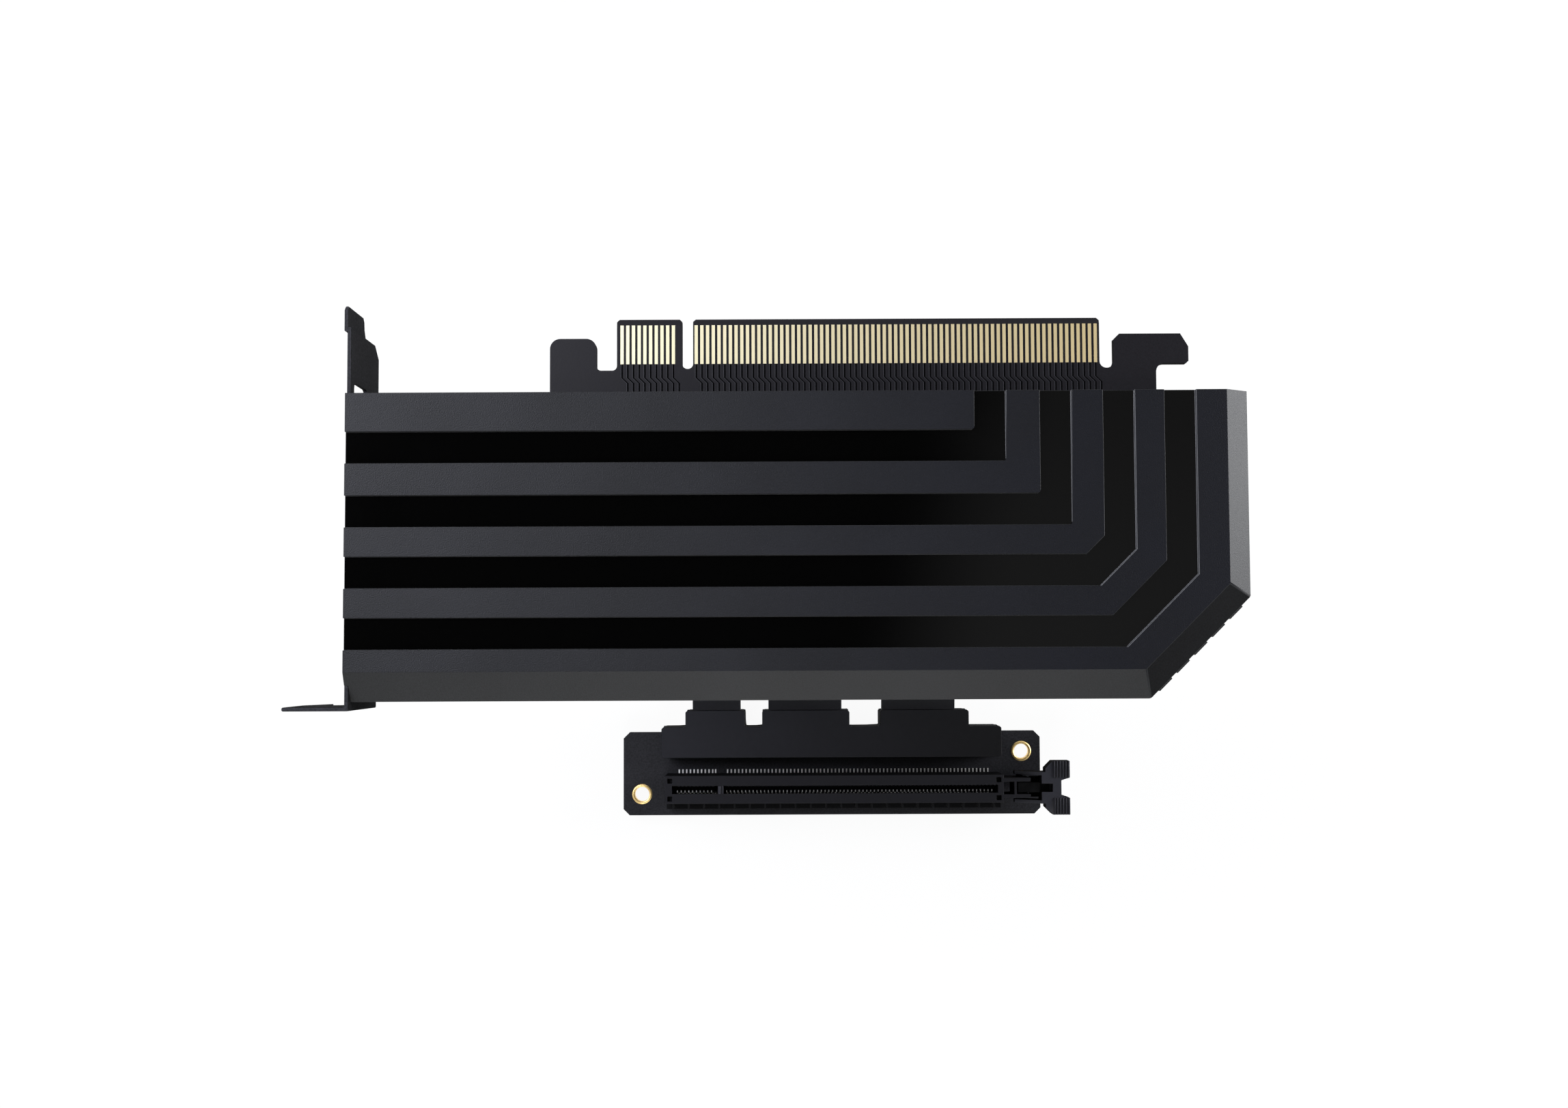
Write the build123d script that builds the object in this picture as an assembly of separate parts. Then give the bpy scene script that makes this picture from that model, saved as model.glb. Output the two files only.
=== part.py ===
from build123d import *
import os
from math import radians, sqrt, tan

# Shrouded riser cable: an edge card with its bracket and cover, three flat cables, and a slot board.
# +Z faces away from the component side of the card, +Y is the way the edge fingers point.
# The origin is the middle of the key notch on the finger edge, at half the card's thickness.

# Driving dimensions, all in millimetres

# Edge card
CARD_T = 1.57
PIN_PITCH = 1.0
FIRST_PIN = 1.5
SHORT_PINS = 11
LONG_PINS = 71
EDGE_END_LEFT = 0.9
EDGE_END_RIGHT = 0.7
EDGE_CORNER = 0.45
KEY_W = 1.9
KEY_DEPTH = 8.8
KEY_R = 0.9
BEVEL_OUT = 0.35
BEVEL_LEN = 1.1
EDGE_NOTCH_LEFT_W = 3.6
EDGE_NOTCH_LEFT_DEPTH = 9.05
EDGE_NOTCH_LEFT_R = 0.85
EDGE_NOTCH_RIGHT_W = 2.5
EDGE_NOTCH_RIGHT_DEPTH = 8.9
EDGE_NOTCH_RIGHT_R = 1.2
EAR_W = 8.15
EAR_DROP = 3.4
EAR_R = 1.8
HOOK_W = 13.1
HOOK_DROP = 2.9
HOOK_UNDER = 8.15
HOOK_CHAMFER = 1.0
HOOK_SLANT = 1.4
HOOK_SLANT_DROP = 2.3
HOOK_TIP_CUT = 0.4
HOOK_REACH = 5.7
HOOK_THROAT_R = 1.5
CARD_LEFT = -57.6
CARD_RIGHT = 89.5
CARD_TOP = -15.6
CARD_BOTTOM = -58.0
CARD_CORNER_CUT = 12.0

# Contact pads on the edge card
PAD_W = 0.58
PAD_T = 0.05
PAD_LEN = 6.85

# Cover over the card: top face, its striped relief and the sloped rim
COVER_LEFT = -59.25
COVER_TOP = -13.25
COVER_FACE_Z = 3.6
COVER_PLATE = 1.5
FIRST_RIDGE_X = 49.8
FIRST_RIDGE_W = 6.8
GROOVE_W = 5.5
GROOVE_DEPTH = 0.7
RIDGE_ROWS = (5.6, 5.1, 5.1)
RIDGE_COLS = (5.85, 5.45, 5.15)
LAST_RIDGE_ROW = 3.8
LAST_RIDGE_COL = 5.35
CUT_STEP = 3.13
CUT_START = 3
FACE_CUT = 14.7
RIM_DROP = 2.5
RIM_OUT_RIGHT = 4.2
RIM_OUT_BOTTOM = 5.15
RIM_OUT_CUT = 4.56
RIM_EDGE_R = 1.0
WALL = 1.6
PARTING_Z = -2.2
BAR_COUNT = 5
BAR_LEN = 3.1
BAR_PITCH = 4.4
BAR_PROUD = 0.35
BAR_H = 2.2

# Lower cover
LOWER_Z = -12.6
LOWER_TAPER = 2.0
LOWER_TAPER_H = 2.4
EXIT_LIP = 1.4
EXIT_LIP_H = 1.2

# Posts for the screws that join the covers, beside the card
POST_FROM_EDGE = 4.0
POSTS_BELOW_X = (-48.0, 58.0)
POST_RIGHT_Y = -22.0
POST_R = 2.8
SCREW_R = 1.0
SCREW_HOLE_R = 1.05
RECESS_R = 2.2
RECESS_DEPTH = 1.5

# Bracket
SHEET = 0.7
BRACKET_W = 18.42
BRACKET_NEAR_Z = 2.45
BRACKET_BOTTOM = -68.35
TONGUE_END = 2.3
TONGUE_W = 10.5
TONGUE_SHIFT = 0.55
TONGUE_Y = -1.5
SHOULDER_DROP = 2.2
SHOULDER_CUT = 2.6
TAB_LEN = 10.75
TAB_CUT = 3.5
TAB_CUT_Z = 7.0
TAB_NOTCH_W = 4.4
TAB_NOTCH_DEPTH = 6.6
TAB_NOTCH_FROM_BLADE = 5.0
WINDOW_TOP = -10.8
WINDOW_LEN = 24.0
WINDOW_W = 8.6
WINDOW_FROM_EDGE = 2.15
WINDOW_R = 1.2
LUG_Y = (-41.5, -55.0)
LUG_LEN = 8.0
LUG_W = 7.0
LUG_HOLE_FROM_BLADE = 4.8

# Cable comb inside the covers, which holds the cable ends to the card
COMB_W = 8.0
COMB_T = 3.2
COMB_END = 4.0

# Flat cables: thickness, and centre and width of each
CABLE_T = 2.6
CABLES = {"ribbon_left": (-1.3, 12.85), "ribbon_middle": (22.35, 19.6), "ribbon_right": (52.65, 19.6)}
ROUTE = ((-50.0, -0.9), (-52.0, -50.0), (-47.5, -100.0), (-62.5, -145.0), (-84.0, -145.0))
CLEAR = 0.2
EXIT_CLEAR = 0.35
ARC_SHARE = 0.45

# Slot board
BOARD_T = 1.57
BOARD_TOP_Z = -146.6
BOARD_LEFT = -26.5
BOARD_RIGHT = 85.6
BOARD_TOP = -79.65
BOARD_BOTTOM = -101.9
BOARD_CUT = 1.65
LEFT_HOLE_IN = (5.0, 5.65)
RIGHT_HOLE_IN = (5.05, 5.45)
BOARD_HOLE_R = 1.95
PLATING_R = 2.68
PLATING_WALL = 0.1
PLATING_T = 0.06

# Cover over the cable ends on the slot board, with a collar for each cable
CAP_LEFT = -15.7
CAP_RIGHT = 74.2
CAP_TOP = -78.0
CAP_BOTTOM = -86.1
CAP_FACE_Z = -138.5
CAP_WALL = 1.5
CAP_CORNER = 0.45
COLLAR_TOP = -73.65
COLLARS = ((-9.35, 6.35), (10.95, 34.05), (42.25, 65.6))
CAP_BACK_T = 2.4
CAP_SCREW_IN = 2.5
CAP_POST_R = 1.8

# Slot connector
SLOT_END_LEFT = 1.85
SLOT_END_RIGHT = 1.55
SLOT_W = 7.3
SLOT_Y = -94.3
SLOT_FACE_Z = -136.4
SLOT_STANDOFF = 0.5
MOUTH_END = 1.3
MOUTH_W = 2.1
MOUTH_LIP = 1.6
MOUTH_CHAMBER_W = 3.6
MOUTH_FLOOR = 2.2
STOP_W = 1.0
SLOT_KEY_W = 1.5
POCKET = 1.3
POCKET_DEPTH = 1.5
RIB_PITCH = 4.02
RIB_W = 0.4
RIB_OUT = 1.25
RIB_DROP = 0.6
FIRST_RIB_IN = 2.15
FOOT_OUT = 1.9
FOOT_H = 4.0

# Slot contacts
CONTACT_W = 0.5
CONTACT_T = 0.3
TIP_IN = 0.55
TIP_DROP = 1.2
TAIL_OUT = 1.0
CONTACT_FREE = 0.3

# Latch end of the slot connector, and the latch
ARM_LEN = 7.05
ARM_W = 0.95
ARM_GAP = 3.3
ARM_SHIFT = 0.15
ARM_H = 8.4
CROSS_FROM_SLOT = 2.75
CROSS_W = 0.65
PIVOT_FROM_SLOT = 4.95
PIVOT_DROP = 5.8
PIVOT_R = 0.9
PIVOT_GAP = 0.06
SIDE_GAP = 0.65
PIN_SHORT = 0.1
LATCH_ARM_W = 0.9
LATCH_ARM_H = 1.5
CHEEK_FROM_PIVOT = 5.0
CHEEK_LEN = 2.9
CHEEK_H = 5.3
LATCH_DROP = 0.1
THROAT_W = 2.15
BRIDGE_T = 1.0
BRIDGE_DROP = 2.5
GRIP_LEN = 4.55
GRIP_W = 14.05
GRIP_H = 4.1
GRIP_SLANT = 1.9
GRIP_NOTCH = 2.25
GRIP_NOTCH_W = 3.85
GRIP_NOTCH_SLANT = 0.75
GRIP_RIBS = 6
GRIP_RIB_PITCH = 0.75
GRIP_RIB_W = 0.34
GRIP_RIB_H = 0.3

# How far a cutting tool reaches past the piece it cuts
OVERRUN = 1.0

# Places that follow from the sizes above
CARD_FACE_Z = CARD_T / 2
PIN_LEFT = FIRST_PIN + (SHORT_PINS - 1) * PIN_PITCH
PIN_RIGHT = FIRST_PIN + (LONG_PINS - 1) * PIN_PITCH
EDGE_LEFT = PIN_LEFT + EDGE_END_LEFT
EDGE_RIGHT = PIN_RIGHT + EDGE_END_RIGHT
EAR_RIGHT = -EDGE_LEFT - EDGE_NOTCH_LEFT_W
EAR_LEFT = EAR_RIGHT - EAR_W
HOOK_LEFT = EDGE_RIGHT + EDGE_NOTCH_RIGHT_W
HOOK_RIGHT = HOOK_LEFT + HOOK_W
THROAT_X = HOOK_RIGHT - HOOK_REACH
BLADE_OUT = COVER_LEFT
BLADE_IN = BLADE_OUT + SHEET
BRACKET_FAR_Z = BRACKET_NEAR_Z - BRACKET_W
PLATE_UNDER_Z = COVER_FACE_Z - COVER_PLATE
RIM_Z = COVER_FACE_Z - RIM_DROP
BOARD_UNDER_Z = BOARD_TOP_Z - BOARD_T
CAP_BACK_Z = BOARD_UNDER_Z - CAP_BACK_T
SLOT_FOOT_Z = BOARD_TOP_Z + SLOT_STANDOFF
MOUTH_LEFT = -PIN_LEFT - MOUTH_END
MOUTH_RIGHT = PIN_RIGHT + MOUTH_END
SLOT_LEFT = MOUTH_LEFT - SLOT_END_LEFT
SLOT_RIGHT = MOUTH_RIGHT + SLOT_END_RIGHT
SLOT_BACK = SLOT_Y + SLOT_W / 2
SLOT_FRONT = SLOT_Y - SLOT_W / 2
ARM_Y = SLOT_Y + ARM_SHIFT
PIVOT_X = SLOT_RIGHT + PIVOT_FROM_SLOT
PIVOT_Z = SLOT_FACE_Z - PIVOT_DROP
LATCH_FACE_Z = SLOT_FACE_Z - LATCH_DROP
CHEEK_LEFT = PIVOT_X + CHEEK_FROM_PIVOT
CHEEK_RIGHT = CHEEK_LEFT + CHEEK_LEN
CHEEK_BOTTOM_Z = LATCH_FACE_Z - CHEEK_H
GRIP_RIGHT = CHEEK_RIGHT + GRIP_LEN
ROOT2 = sqrt(2.0)
COMB_Y = ROUTE[0][0]
CAP_SCREW_Y = CAP_BOTTOM + CAP_SCREW_IN
BOARD_HOLES = (
    (BOARD_LEFT + LEFT_HOLE_IN[0], BOARD_BOTTOM + LEFT_HOLE_IN[1]),
    (BOARD_RIGHT - RIGHT_HOLE_IN[0], BOARD_TOP - RIGHT_HOLE_IN[1]),
)


def block(x0, x1, y0, y1, z0, z1):
    return Pos((x0 + x1) / 2, (y0 + y1) / 2, (z0 + z1) / 2) * Box(x1 - x0, y1 - y0, z1 - z0)


def rod(radius, x, y, z0, z1):
    return Pos(x, y, (z0 + z1) / 2) * Cylinder(radius, z1 - z0)


def flat(points, z0, z1):
    """A plate with the given outline in X and Y, from z0 up to z1."""
    return extrude(Pos(0, 0, z0) * make_face(Polyline(*points, close=True)), z1 - z0)


def along_x(points, x0, x1):
    """A bar with the given outline in Y and Z, from x0 to x1."""
    return extrude(Plane.YZ.offset(x0) * make_face(Polyline(*points, close=True)), x1 - x0)


def pin_places(short_count):
    """Pin centres in X: the short group left of the key, then the long group."""
    short = [-(FIRST_PIN + i * PIN_PITCH) for i in range(SHORT_PINS - short_count, SHORT_PINS)]
    return short + [FIRST_PIN + i * PIN_PITCH for i in range(LONG_PINS)]


def notch(x0, x1, bottom, top, radius):
    """The tool for a notch in the card that is open at the top, with round corners at the bottom."""
    height = top - bottom + 2 * radius
    outline = fillet(Rectangle(x1 - x0, height).vertices(), radius)
    return extrude(Pos((x0 + x1) / 2, bottom + height / 2, -CARD_T) * outline, 2 * CARD_T)


# Riser card

def finger_block(left, right):
    """Outline points of one block of fingers, with its two cut corners."""
    return [(left, -EDGE_CORNER), (left + EDGE_CORNER, 0), (right - EDGE_CORNER, 0), (right, -EDGE_CORNER)]


def card_outline():
    """Outline from the left ear, along the finger blocks and the hook, to the hidden body."""
    notch_left = -EDGE_NOTCH_LEFT_DEPTH + EDGE_NOTCH_LEFT_R
    notch_right = -HOOK_DROP - HOOK_CHAMFER
    key = -EDGE_CORNER - BEVEL_LEN
    return [
        (EAR_LEFT, CARD_TOP),
        (EAR_LEFT, -EAR_DROP),
        (EAR_RIGHT, -EAR_DROP),
        (EAR_RIGHT, notch_left),
        (-EDGE_LEFT, notch_left),
        *finger_block(-EDGE_LEFT, -KEY_W / 2),
        (-KEY_W / 2, key),
        (KEY_W / 2, key),
        *finger_block(KEY_W / 2, EDGE_RIGHT),
        (EDGE_RIGHT, notch_right),
        (HOOK_LEFT, notch_right),
        (HOOK_LEFT + HOOK_CHAMFER, -HOOK_DROP),
        (HOOK_RIGHT - HOOK_SLANT, -HOOK_DROP),
        (HOOK_RIGHT, -HOOK_DROP - HOOK_SLANT_DROP),
        (HOOK_RIGHT, -HOOK_UNDER + HOOK_TIP_CUT),
        (HOOK_RIGHT - HOOK_TIP_CUT, -HOOK_UNDER),
        (HOOK_RIGHT - HOOK_TIP_CUT, CARD_TOP),
        (CARD_RIGHT, CARD_TOP),
        (CARD_RIGHT, CARD_BOTTOM + CARD_CORNER_CUT),
        (CARD_RIGHT - CARD_CORNER_CUT, CARD_BOTTOM),
        (CARD_LEFT, CARD_BOTTOM),
        (CARD_LEFT, CARD_TOP),
    ]


def ear_corner(x, inward):
    """The waste outside a round corner of the ear."""
    centre_x = x + inward * EAR_R
    square = block(min(x, centre_x), max(x, centre_x), -EAR_DROP - EAR_R, -EAR_DROP, -CARD_T, CARD_T)
    return square - rod(EAR_R, centre_x, -EAR_DROP - EAR_R, -CARD_T, CARD_T)


def edge_bevel():
    """The two wedges that thin the finger edge so that it enters a slot."""
    tools = []
    for side in (1, -1):
        face = side * CARD_FACE_Z
        wedge = [(0, face - side * BEVEL_OUT), (0, face), (-BEVEL_LEN, face)]
        tools.append(along_x(wedge, -EDGE_LEFT, EDGE_RIGHT))
    return tools


def make_card():
    card = flat(card_outline(), -CARD_FACE_Z, CARD_FACE_Z)
    card -= notch(EAR_RIGHT, -EDGE_LEFT, -EDGE_NOTCH_LEFT_DEPTH, -EAR_DROP - EAR_R, EDGE_NOTCH_LEFT_R)
    card -= notch(EDGE_RIGHT, HOOK_LEFT, -EDGE_NOTCH_RIGHT_DEPTH, -HOOK_DROP, EDGE_NOTCH_RIGHT_R)
    card -= notch(-KEY_W / 2, KEY_W / 2, -KEY_DEPTH, -EDGE_CORNER, KEY_R)
    card -= ear_corner(EAR_RIGHT, -1)
    card -= ear_corner(EAR_LEFT, 1)
    throat = fillet(Rectangle(2 * HOOK_W, -HOOK_UNDER - CARD_TOP).vertices(), HOOK_THROAT_R)
    throat_mid = (CARD_TOP - HOOK_UNDER) / 2
    card -= extrude(Pos(THROAT_X + HOOK_W, throat_mid, -CARD_T) * throat, 2 * CARD_T)
    card -= edge_bevel()
    for y in LUG_Y:
        card -= rod(SCREW_HOLE_R, BLADE_IN + LUG_HOLE_FROM_BLADE, y, -CARD_FACE_Z, CARD_FACE_Z)
    return card


def make_pads(side, short_count):
    """One row of contact pads, on the face that side gives."""
    face = side * CARD_FACE_Z
    low = min(face, face + side * PAD_T)
    bottom = -BEVEL_LEN - PAD_LEN
    return [block(x - PAD_W / 2, x + PAD_W / 2, bottom, -BEVEL_LEN, low, low + PAD_T)
            for x in pin_places(short_count)]


# Cover over the card

def face_size():
    """Right and bottom edges of the top face, which end the rows of ridges."""
    right = FIRST_RIDGE_X + 4 * GROOVE_W + sum(RIDGE_COLS) + LAST_RIDGE_COL
    bottom = COVER_TOP - FIRST_RIDGE_W - 4 * GROOVE_W - sum(RIDGE_ROWS) - LAST_RIDGE_ROW
    return right, bottom


def cut_corner(left, top, right, bottom, cut):
    """A rectangle's outline with its lower right corner cut at 45 degrees."""
    return [(left, top), (right, top), (right, bottom + cut), (right - cut, bottom), (left, bottom)]


def rim_outline(inset, left, top):
    """Outline of the cover below its sloped rim, moved inward by the inset."""
    face_right, face_bottom = face_size()
    right = face_right + RIM_OUT_RIGHT - inset
    bottom = face_bottom - RIM_OUT_BOTTOM + inset
    corner_sum = face_right - face_bottom - FACE_CUT + (RIM_OUT_CUT - inset) * ROOT2
    cut = right - bottom - corner_sum
    return cut_corner(left, top, right, bottom, cut)


def groove_lines():
    """Corner point and corner cut of each edge between a ridge and a groove, inside to outside."""
    lines = []
    x = FIRST_RIDGE_X
    y = COVER_TOP - FIRST_RIDGE_W
    for col, row in zip(RIDGE_COLS + (LAST_RIDGE_COL,), RIDGE_ROWS + (LAST_RIDGE_ROW,)):
        for step_x, step_y in ((GROOVE_W, GROOVE_W), (col, row)):
            cut = max(0.0, CUT_STEP * (len(lines) - CUT_START))
            lines.append((x, y, cut))
            x += step_x
            y -= step_y
    return lines


def bent_edge(x, y, cut, left, top):
    """Points of one groove edge, from the left end round the corner to the top."""
    corner = [(x, y)] if cut == 0 else [(x - cut, y), (x, y + cut)]
    return [(left, y)] + corner + [(x, top)]


def make_grooves():
    lines = groove_lines()
    left = COVER_LEFT - OVERRUN
    top = COVER_TOP + OVERRUN
    floor = COVER_FACE_Z - GROOVE_DEPTH
    grooves = []
    for inner, outer in zip(lines[0::2], lines[1::2]):
        outline = bent_edge(*inner, left, top) + bent_edge(*outer, left, top)[::-1]
        grooves.append(flat(outline, floor, COVER_FACE_Z + OVERRUN))
    return grooves


def sloped_block(upper_points, upper_z, lower_points, lower_z):
    """A solid with plane sides between two outlines at two heights."""
    upper = Pos(0, 0, upper_z) * make_face(Polyline(*upper_points, close=True))
    lower = Pos(0, 0, lower_z) * make_face(Polyline(*lower_points, close=True))
    return loft([lower, upper], ruled=True)


def make_bars():
    """Plain raised bars on the cut corner's side wall."""
    outline = rim_outline(0, COVER_LEFT, COVER_TOP)
    (x0, y0), (x1, y1) = outline[2], outline[3]
    length = sqrt((x1 - x0) ** 2 + (y1 - y0) ** 2)
    first = (length - (BAR_COUNT - 1) * BAR_PITCH) / 2
    middle_z = (RIM_Z + PARTING_Z) / 2
    bars = []
    for i in range(BAR_COUNT):
        share = (first + i * BAR_PITCH) / length
        place = Pos(x0 + (x1 - x0) * share, y0 + (y1 - y0) * share, middle_z) * Rot(0, 0, 45)
        bars.append(place * Box(BAR_LEN, 2 * BAR_PROUD, BAR_H))
    return bars


def make_upper_cover():
    face_right, face_bottom = face_size()
    face = cut_corner(COVER_LEFT, COVER_TOP, face_right, face_bottom, FACE_CUT)
    rim = rim_outline(0, COVER_LEFT, COVER_TOP)
    cover = sloped_block(face, COVER_FACE_Z, rim, RIM_Z) + flat(rim, PARTING_Z, RIM_Z)
    edges = [e for e in cover.edges() if is_corner_edge(e, face_right, face_bottom)]
    cover = fillet(edges, RIM_EDGE_R)
    slope_share = (PLATE_UNDER_Z - RIM_Z) / RIM_DROP
    cavity = rim_outline(WALL + RIM_OUT_BOTTOM * slope_share, BLADE_OUT, COVER_TOP - WALL)
    lower_cavity = rim_outline(WALL, BLADE_OUT, COVER_TOP - WALL)
    cover -= sloped_block(cavity, PLATE_UNDER_Z, lower_cavity, 0)
    cover -= flat(lower_cavity, PARTING_Z, 0)
    rim_bottom = face_bottom - RIM_OUT_BOTTOM
    cover -= block(BLADE_OUT, BLADE_IN, rim_bottom, COVER_TOP, PARTING_Z, BRACKET_NEAR_Z)
    cover -= block(EAR_LEFT - CLEAR, neck_right() + CLEAR, COVER_TOP - WALL, COVER_TOP,
                   PARTING_Z, CARD_FACE_Z)
    for x, y in post_places():
        cover += rod(POST_R, x, y, PARTING_Z, PLATE_UNDER_Z)
        cover -= rod(SCREW_R, x, y, PARTING_Z, PLATE_UNDER_Z)
    cover -= make_grooves()
    cover += make_bars()
    return cover


def neck_right():
    """Right end of the card where it enters the covers, past the round corner of the hook's throat."""
    return THROAT_X + HOOK_THROAT_R


def post_places():
    """Screw posts beside the card: two below it and one to its right."""
    face_right, face_bottom = face_size()
    below = face_bottom - RIM_OUT_BOTTOM + WALL + POST_FROM_EDGE
    beside = face_right + RIM_OUT_RIGHT - WALL - POST_FROM_EDGE
    return [(x, below) for x in POSTS_BELOW_X] + [(beside, POST_RIGHT_Y)]


def is_corner_edge(edge, face_right, face_bottom):
    """True for the edges that come down from the two ends of the cut corner."""
    box = edge.bounding_box()
    steep = box.size.Z > RIM_DROP / 2
    right_end = box.min.X > face_right - RIM_EDGE_R and box.max.Y < COVER_TOP - FACE_CUT
    bottom_end = box.max.Y < face_bottom + RIM_EDGE_R and box.min.X > FIRST_RIDGE_X
    return steep and (right_end or bottom_end)


def first_run_y(z):
    """Where the cables' first straight run is, in Y, at a height."""
    (y0, z0), (y1, z1) = ROUTE[:2]
    return y0 + (y1 - y0) * (z - z0) / (z1 - z0)


def make_lower_cover():
    top = COVER_TOP
    rim = rim_outline(0, BLADE_IN, top)
    foot = rim_outline(LOWER_TAPER, BLADE_IN, top - LOWER_TAPER)
    taper_z = LOWER_Z + LOWER_TAPER_H
    cover = flat(rim, taper_z, PARTING_Z) + sloped_block(rim, taper_z, foot, LOWER_Z)
    cover += block(EAR_LEFT, neck_right(), top - WALL, top, PARTING_Z, -CARD_FACE_Z)
    inside = rim_outline(WALL, BLADE_IN, top - WALL)
    inside_foot = rim_outline(WALL + LOWER_TAPER, BLADE_IN, top - WALL - LOWER_TAPER)
    floor_z = LOWER_Z + WALL
    cover -= flat(inside, taper_z, PARTING_Z)
    cover -= sloped_block(inside, taper_z, inside_foot, floor_z)
    for x, y in post_places():
        cover += rod(POST_R, x, y, LOWER_Z, PARTING_Z)
        cover -= rod(SCREW_HOLE_R, x, y, LOWER_Z, PARTING_Z)
        cover -= rod(RECESS_R, x, y, LOWER_Z, LOWER_Z + RECESS_DEPTH)
    exit_y = first_run_y(LOWER_Z)
    for x, width in CABLES.values():
        half_x = width / 2 + EXIT_CLEAR
        half_y = CABLE_T / 2 + EXIT_CLEAR
        lip_z = LOWER_Z - EXIT_LIP_H
        y0 = exit_y - half_y
        y1 = exit_y + half_y
        lip = block(x - half_x, x + half_x, y0, y1, lip_z, LOWER_Z)
        collar = block(x - half_x - EXIT_LIP, x + half_x + EXIT_LIP, y0 - EXIT_LIP, y1 + EXIT_LIP,
                       lip_z, LOWER_Z)
        cover += collar - lip
        cover -= block(x - half_x, x + half_x, y0, y1, LOWER_Z, floor_z)
    return cover


# Bracket

def make_bracket():
    shoulder_z = BRACKET_NEAR_Z - TONGUE_W
    far_z = BRACKET_FAR_Z
    blade = [
        (TONGUE_Y, BRACKET_NEAR_Z),
        (TONGUE_Y, far_z + SHOULDER_CUT),
        (TONGUE_Y - SHOULDER_DROP, far_z),
        (BRACKET_BOTTOM, far_z),
        (BRACKET_BOTTOM, BRACKET_NEAR_Z),
    ]
    tongue = [
        (TONGUE_Y - SHEET, BRACKET_NEAR_Z),
        (TONGUE_END - SHEET, BRACKET_NEAR_Z),
        (TONGUE_END, BRACKET_NEAR_Z - SHEET),
        (TONGUE_END, shoulder_z + SHEET),
        (TONGUE_END - SHEET, shoulder_z),
        (TONGUE_Y - SHEET, shoulder_z),
    ]
    bracket = along_x(blade, BLADE_OUT, BLADE_IN)
    bracket += along_x(tongue, BLADE_OUT - TONGUE_SHIFT, BLADE_IN - TONGUE_SHIFT)
    window_z = BRACKET_NEAR_Z - WINDOW_FROM_EDGE - WINDOW_W / 2
    window = fillet(Rectangle(WINDOW_LEN, WINDOW_W).vertices(), WINDOW_R)
    window_place = Plane.YZ.offset(BLADE_OUT - OVERRUN) * Pos(WINDOW_TOP - WINDOW_LEN / 2, window_z)
    bracket -= extrude(window_place * window, SHEET + 2 * OVERRUN)
    tab_end = BLADE_OUT - TAB_LEN
    tab = [
        (BLADE_IN, BRACKET_NEAR_Z),
        (tab_end, BRACKET_NEAR_Z),
        (tab_end, far_z + TAB_CUT_Z),
        (tab_end + TAB_CUT, far_z),
        (BLADE_IN, far_z),
    ]
    tab_face = make_face(Polyline(*[(x, BRACKET_BOTTOM, z) for x, z in tab], close=True))
    bracket += extrude(tab_face, SHEET, dir=(0, 1, 0))
    notch_x = BLADE_OUT - TAB_NOTCH_FROM_BLADE
    notch_r = TAB_NOTCH_W / 2
    notch_z = far_z + TAB_NOTCH_DEPTH - notch_r
    tab_top = BRACKET_BOTTOM + SHEET
    bracket -= block(notch_x - notch_r, notch_x + notch_r, BRACKET_BOTTOM, tab_top, far_z, notch_z)
    round_end = Cylinder(notch_r, SHEET, rotation=(90, 0, 0))
    bracket -= Pos(notch_x, BRACKET_BOTTOM + SHEET / 2, notch_z) * round_end
    hole_x = BLADE_IN + LUG_HOLE_FROM_BLADE
    for y in LUG_Y:
        lug = block(BLADE_IN, BLADE_IN + LUG_LEN, y - LUG_W / 2, y + LUG_W / 2,
                    -CARD_FACE_Z - SHEET, -CARD_FACE_Z)
        bracket += lug - rod(SCREW_HOLE_R, hole_x, y, -CARD_T - SHEET, 0)
    return bracket


# Cables

def cable_path():
    """Straight runs joined by tangent arcs, and the arcs' radii."""
    points = [Vector(0, y, z) for y, z in ROUTE]
    radii = []
    for before, here, after in zip(points, points[1:], points[2:]):
        run_in = here - before
        run_out = after - here
        half_turn = run_in.get_angle(run_out) / 2
        radii.append(ARC_SHARE * min(run_in.length, run_out.length) / tan(radians(half_turn)))
    return FilletPolyline(*points, radius=radii), radii


def make_cable(x, width):
    """A flat cable: its route in Y and Z, given the cable's thickness and width."""
    path, _ = cable_path()
    section = Plane(origin=path @ 0, z_dir=path % 0, x_dir=(1, 0, 0)) * Rectangle(width, CABLE_T)
    return Pos(x, 0, 0) * sweep(section, path=path)


def make_comb():
    """The bar under the card with a slot for each cable."""
    left = min(x - width / 2 for x, width in CABLES.values()) - COMB_END
    right = max(x + width / 2 for x, width in CABLES.values()) + COMB_END
    low = -CARD_FACE_Z - COMB_T
    comb = block(left, right, COMB_Y - COMB_W / 2, COMB_Y + COMB_W / 2, low, -CARD_FACE_Z)
    for x, width in CABLES.values():
        half_x = width / 2 + CLEAR
        half_y = CABLE_T / 2 + CLEAR
        comb -= block(x - half_x, x + half_x, COMB_Y - half_y, COMB_Y + half_y, low, -CARD_FACE_Z)
    return comb


# Slot board

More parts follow.
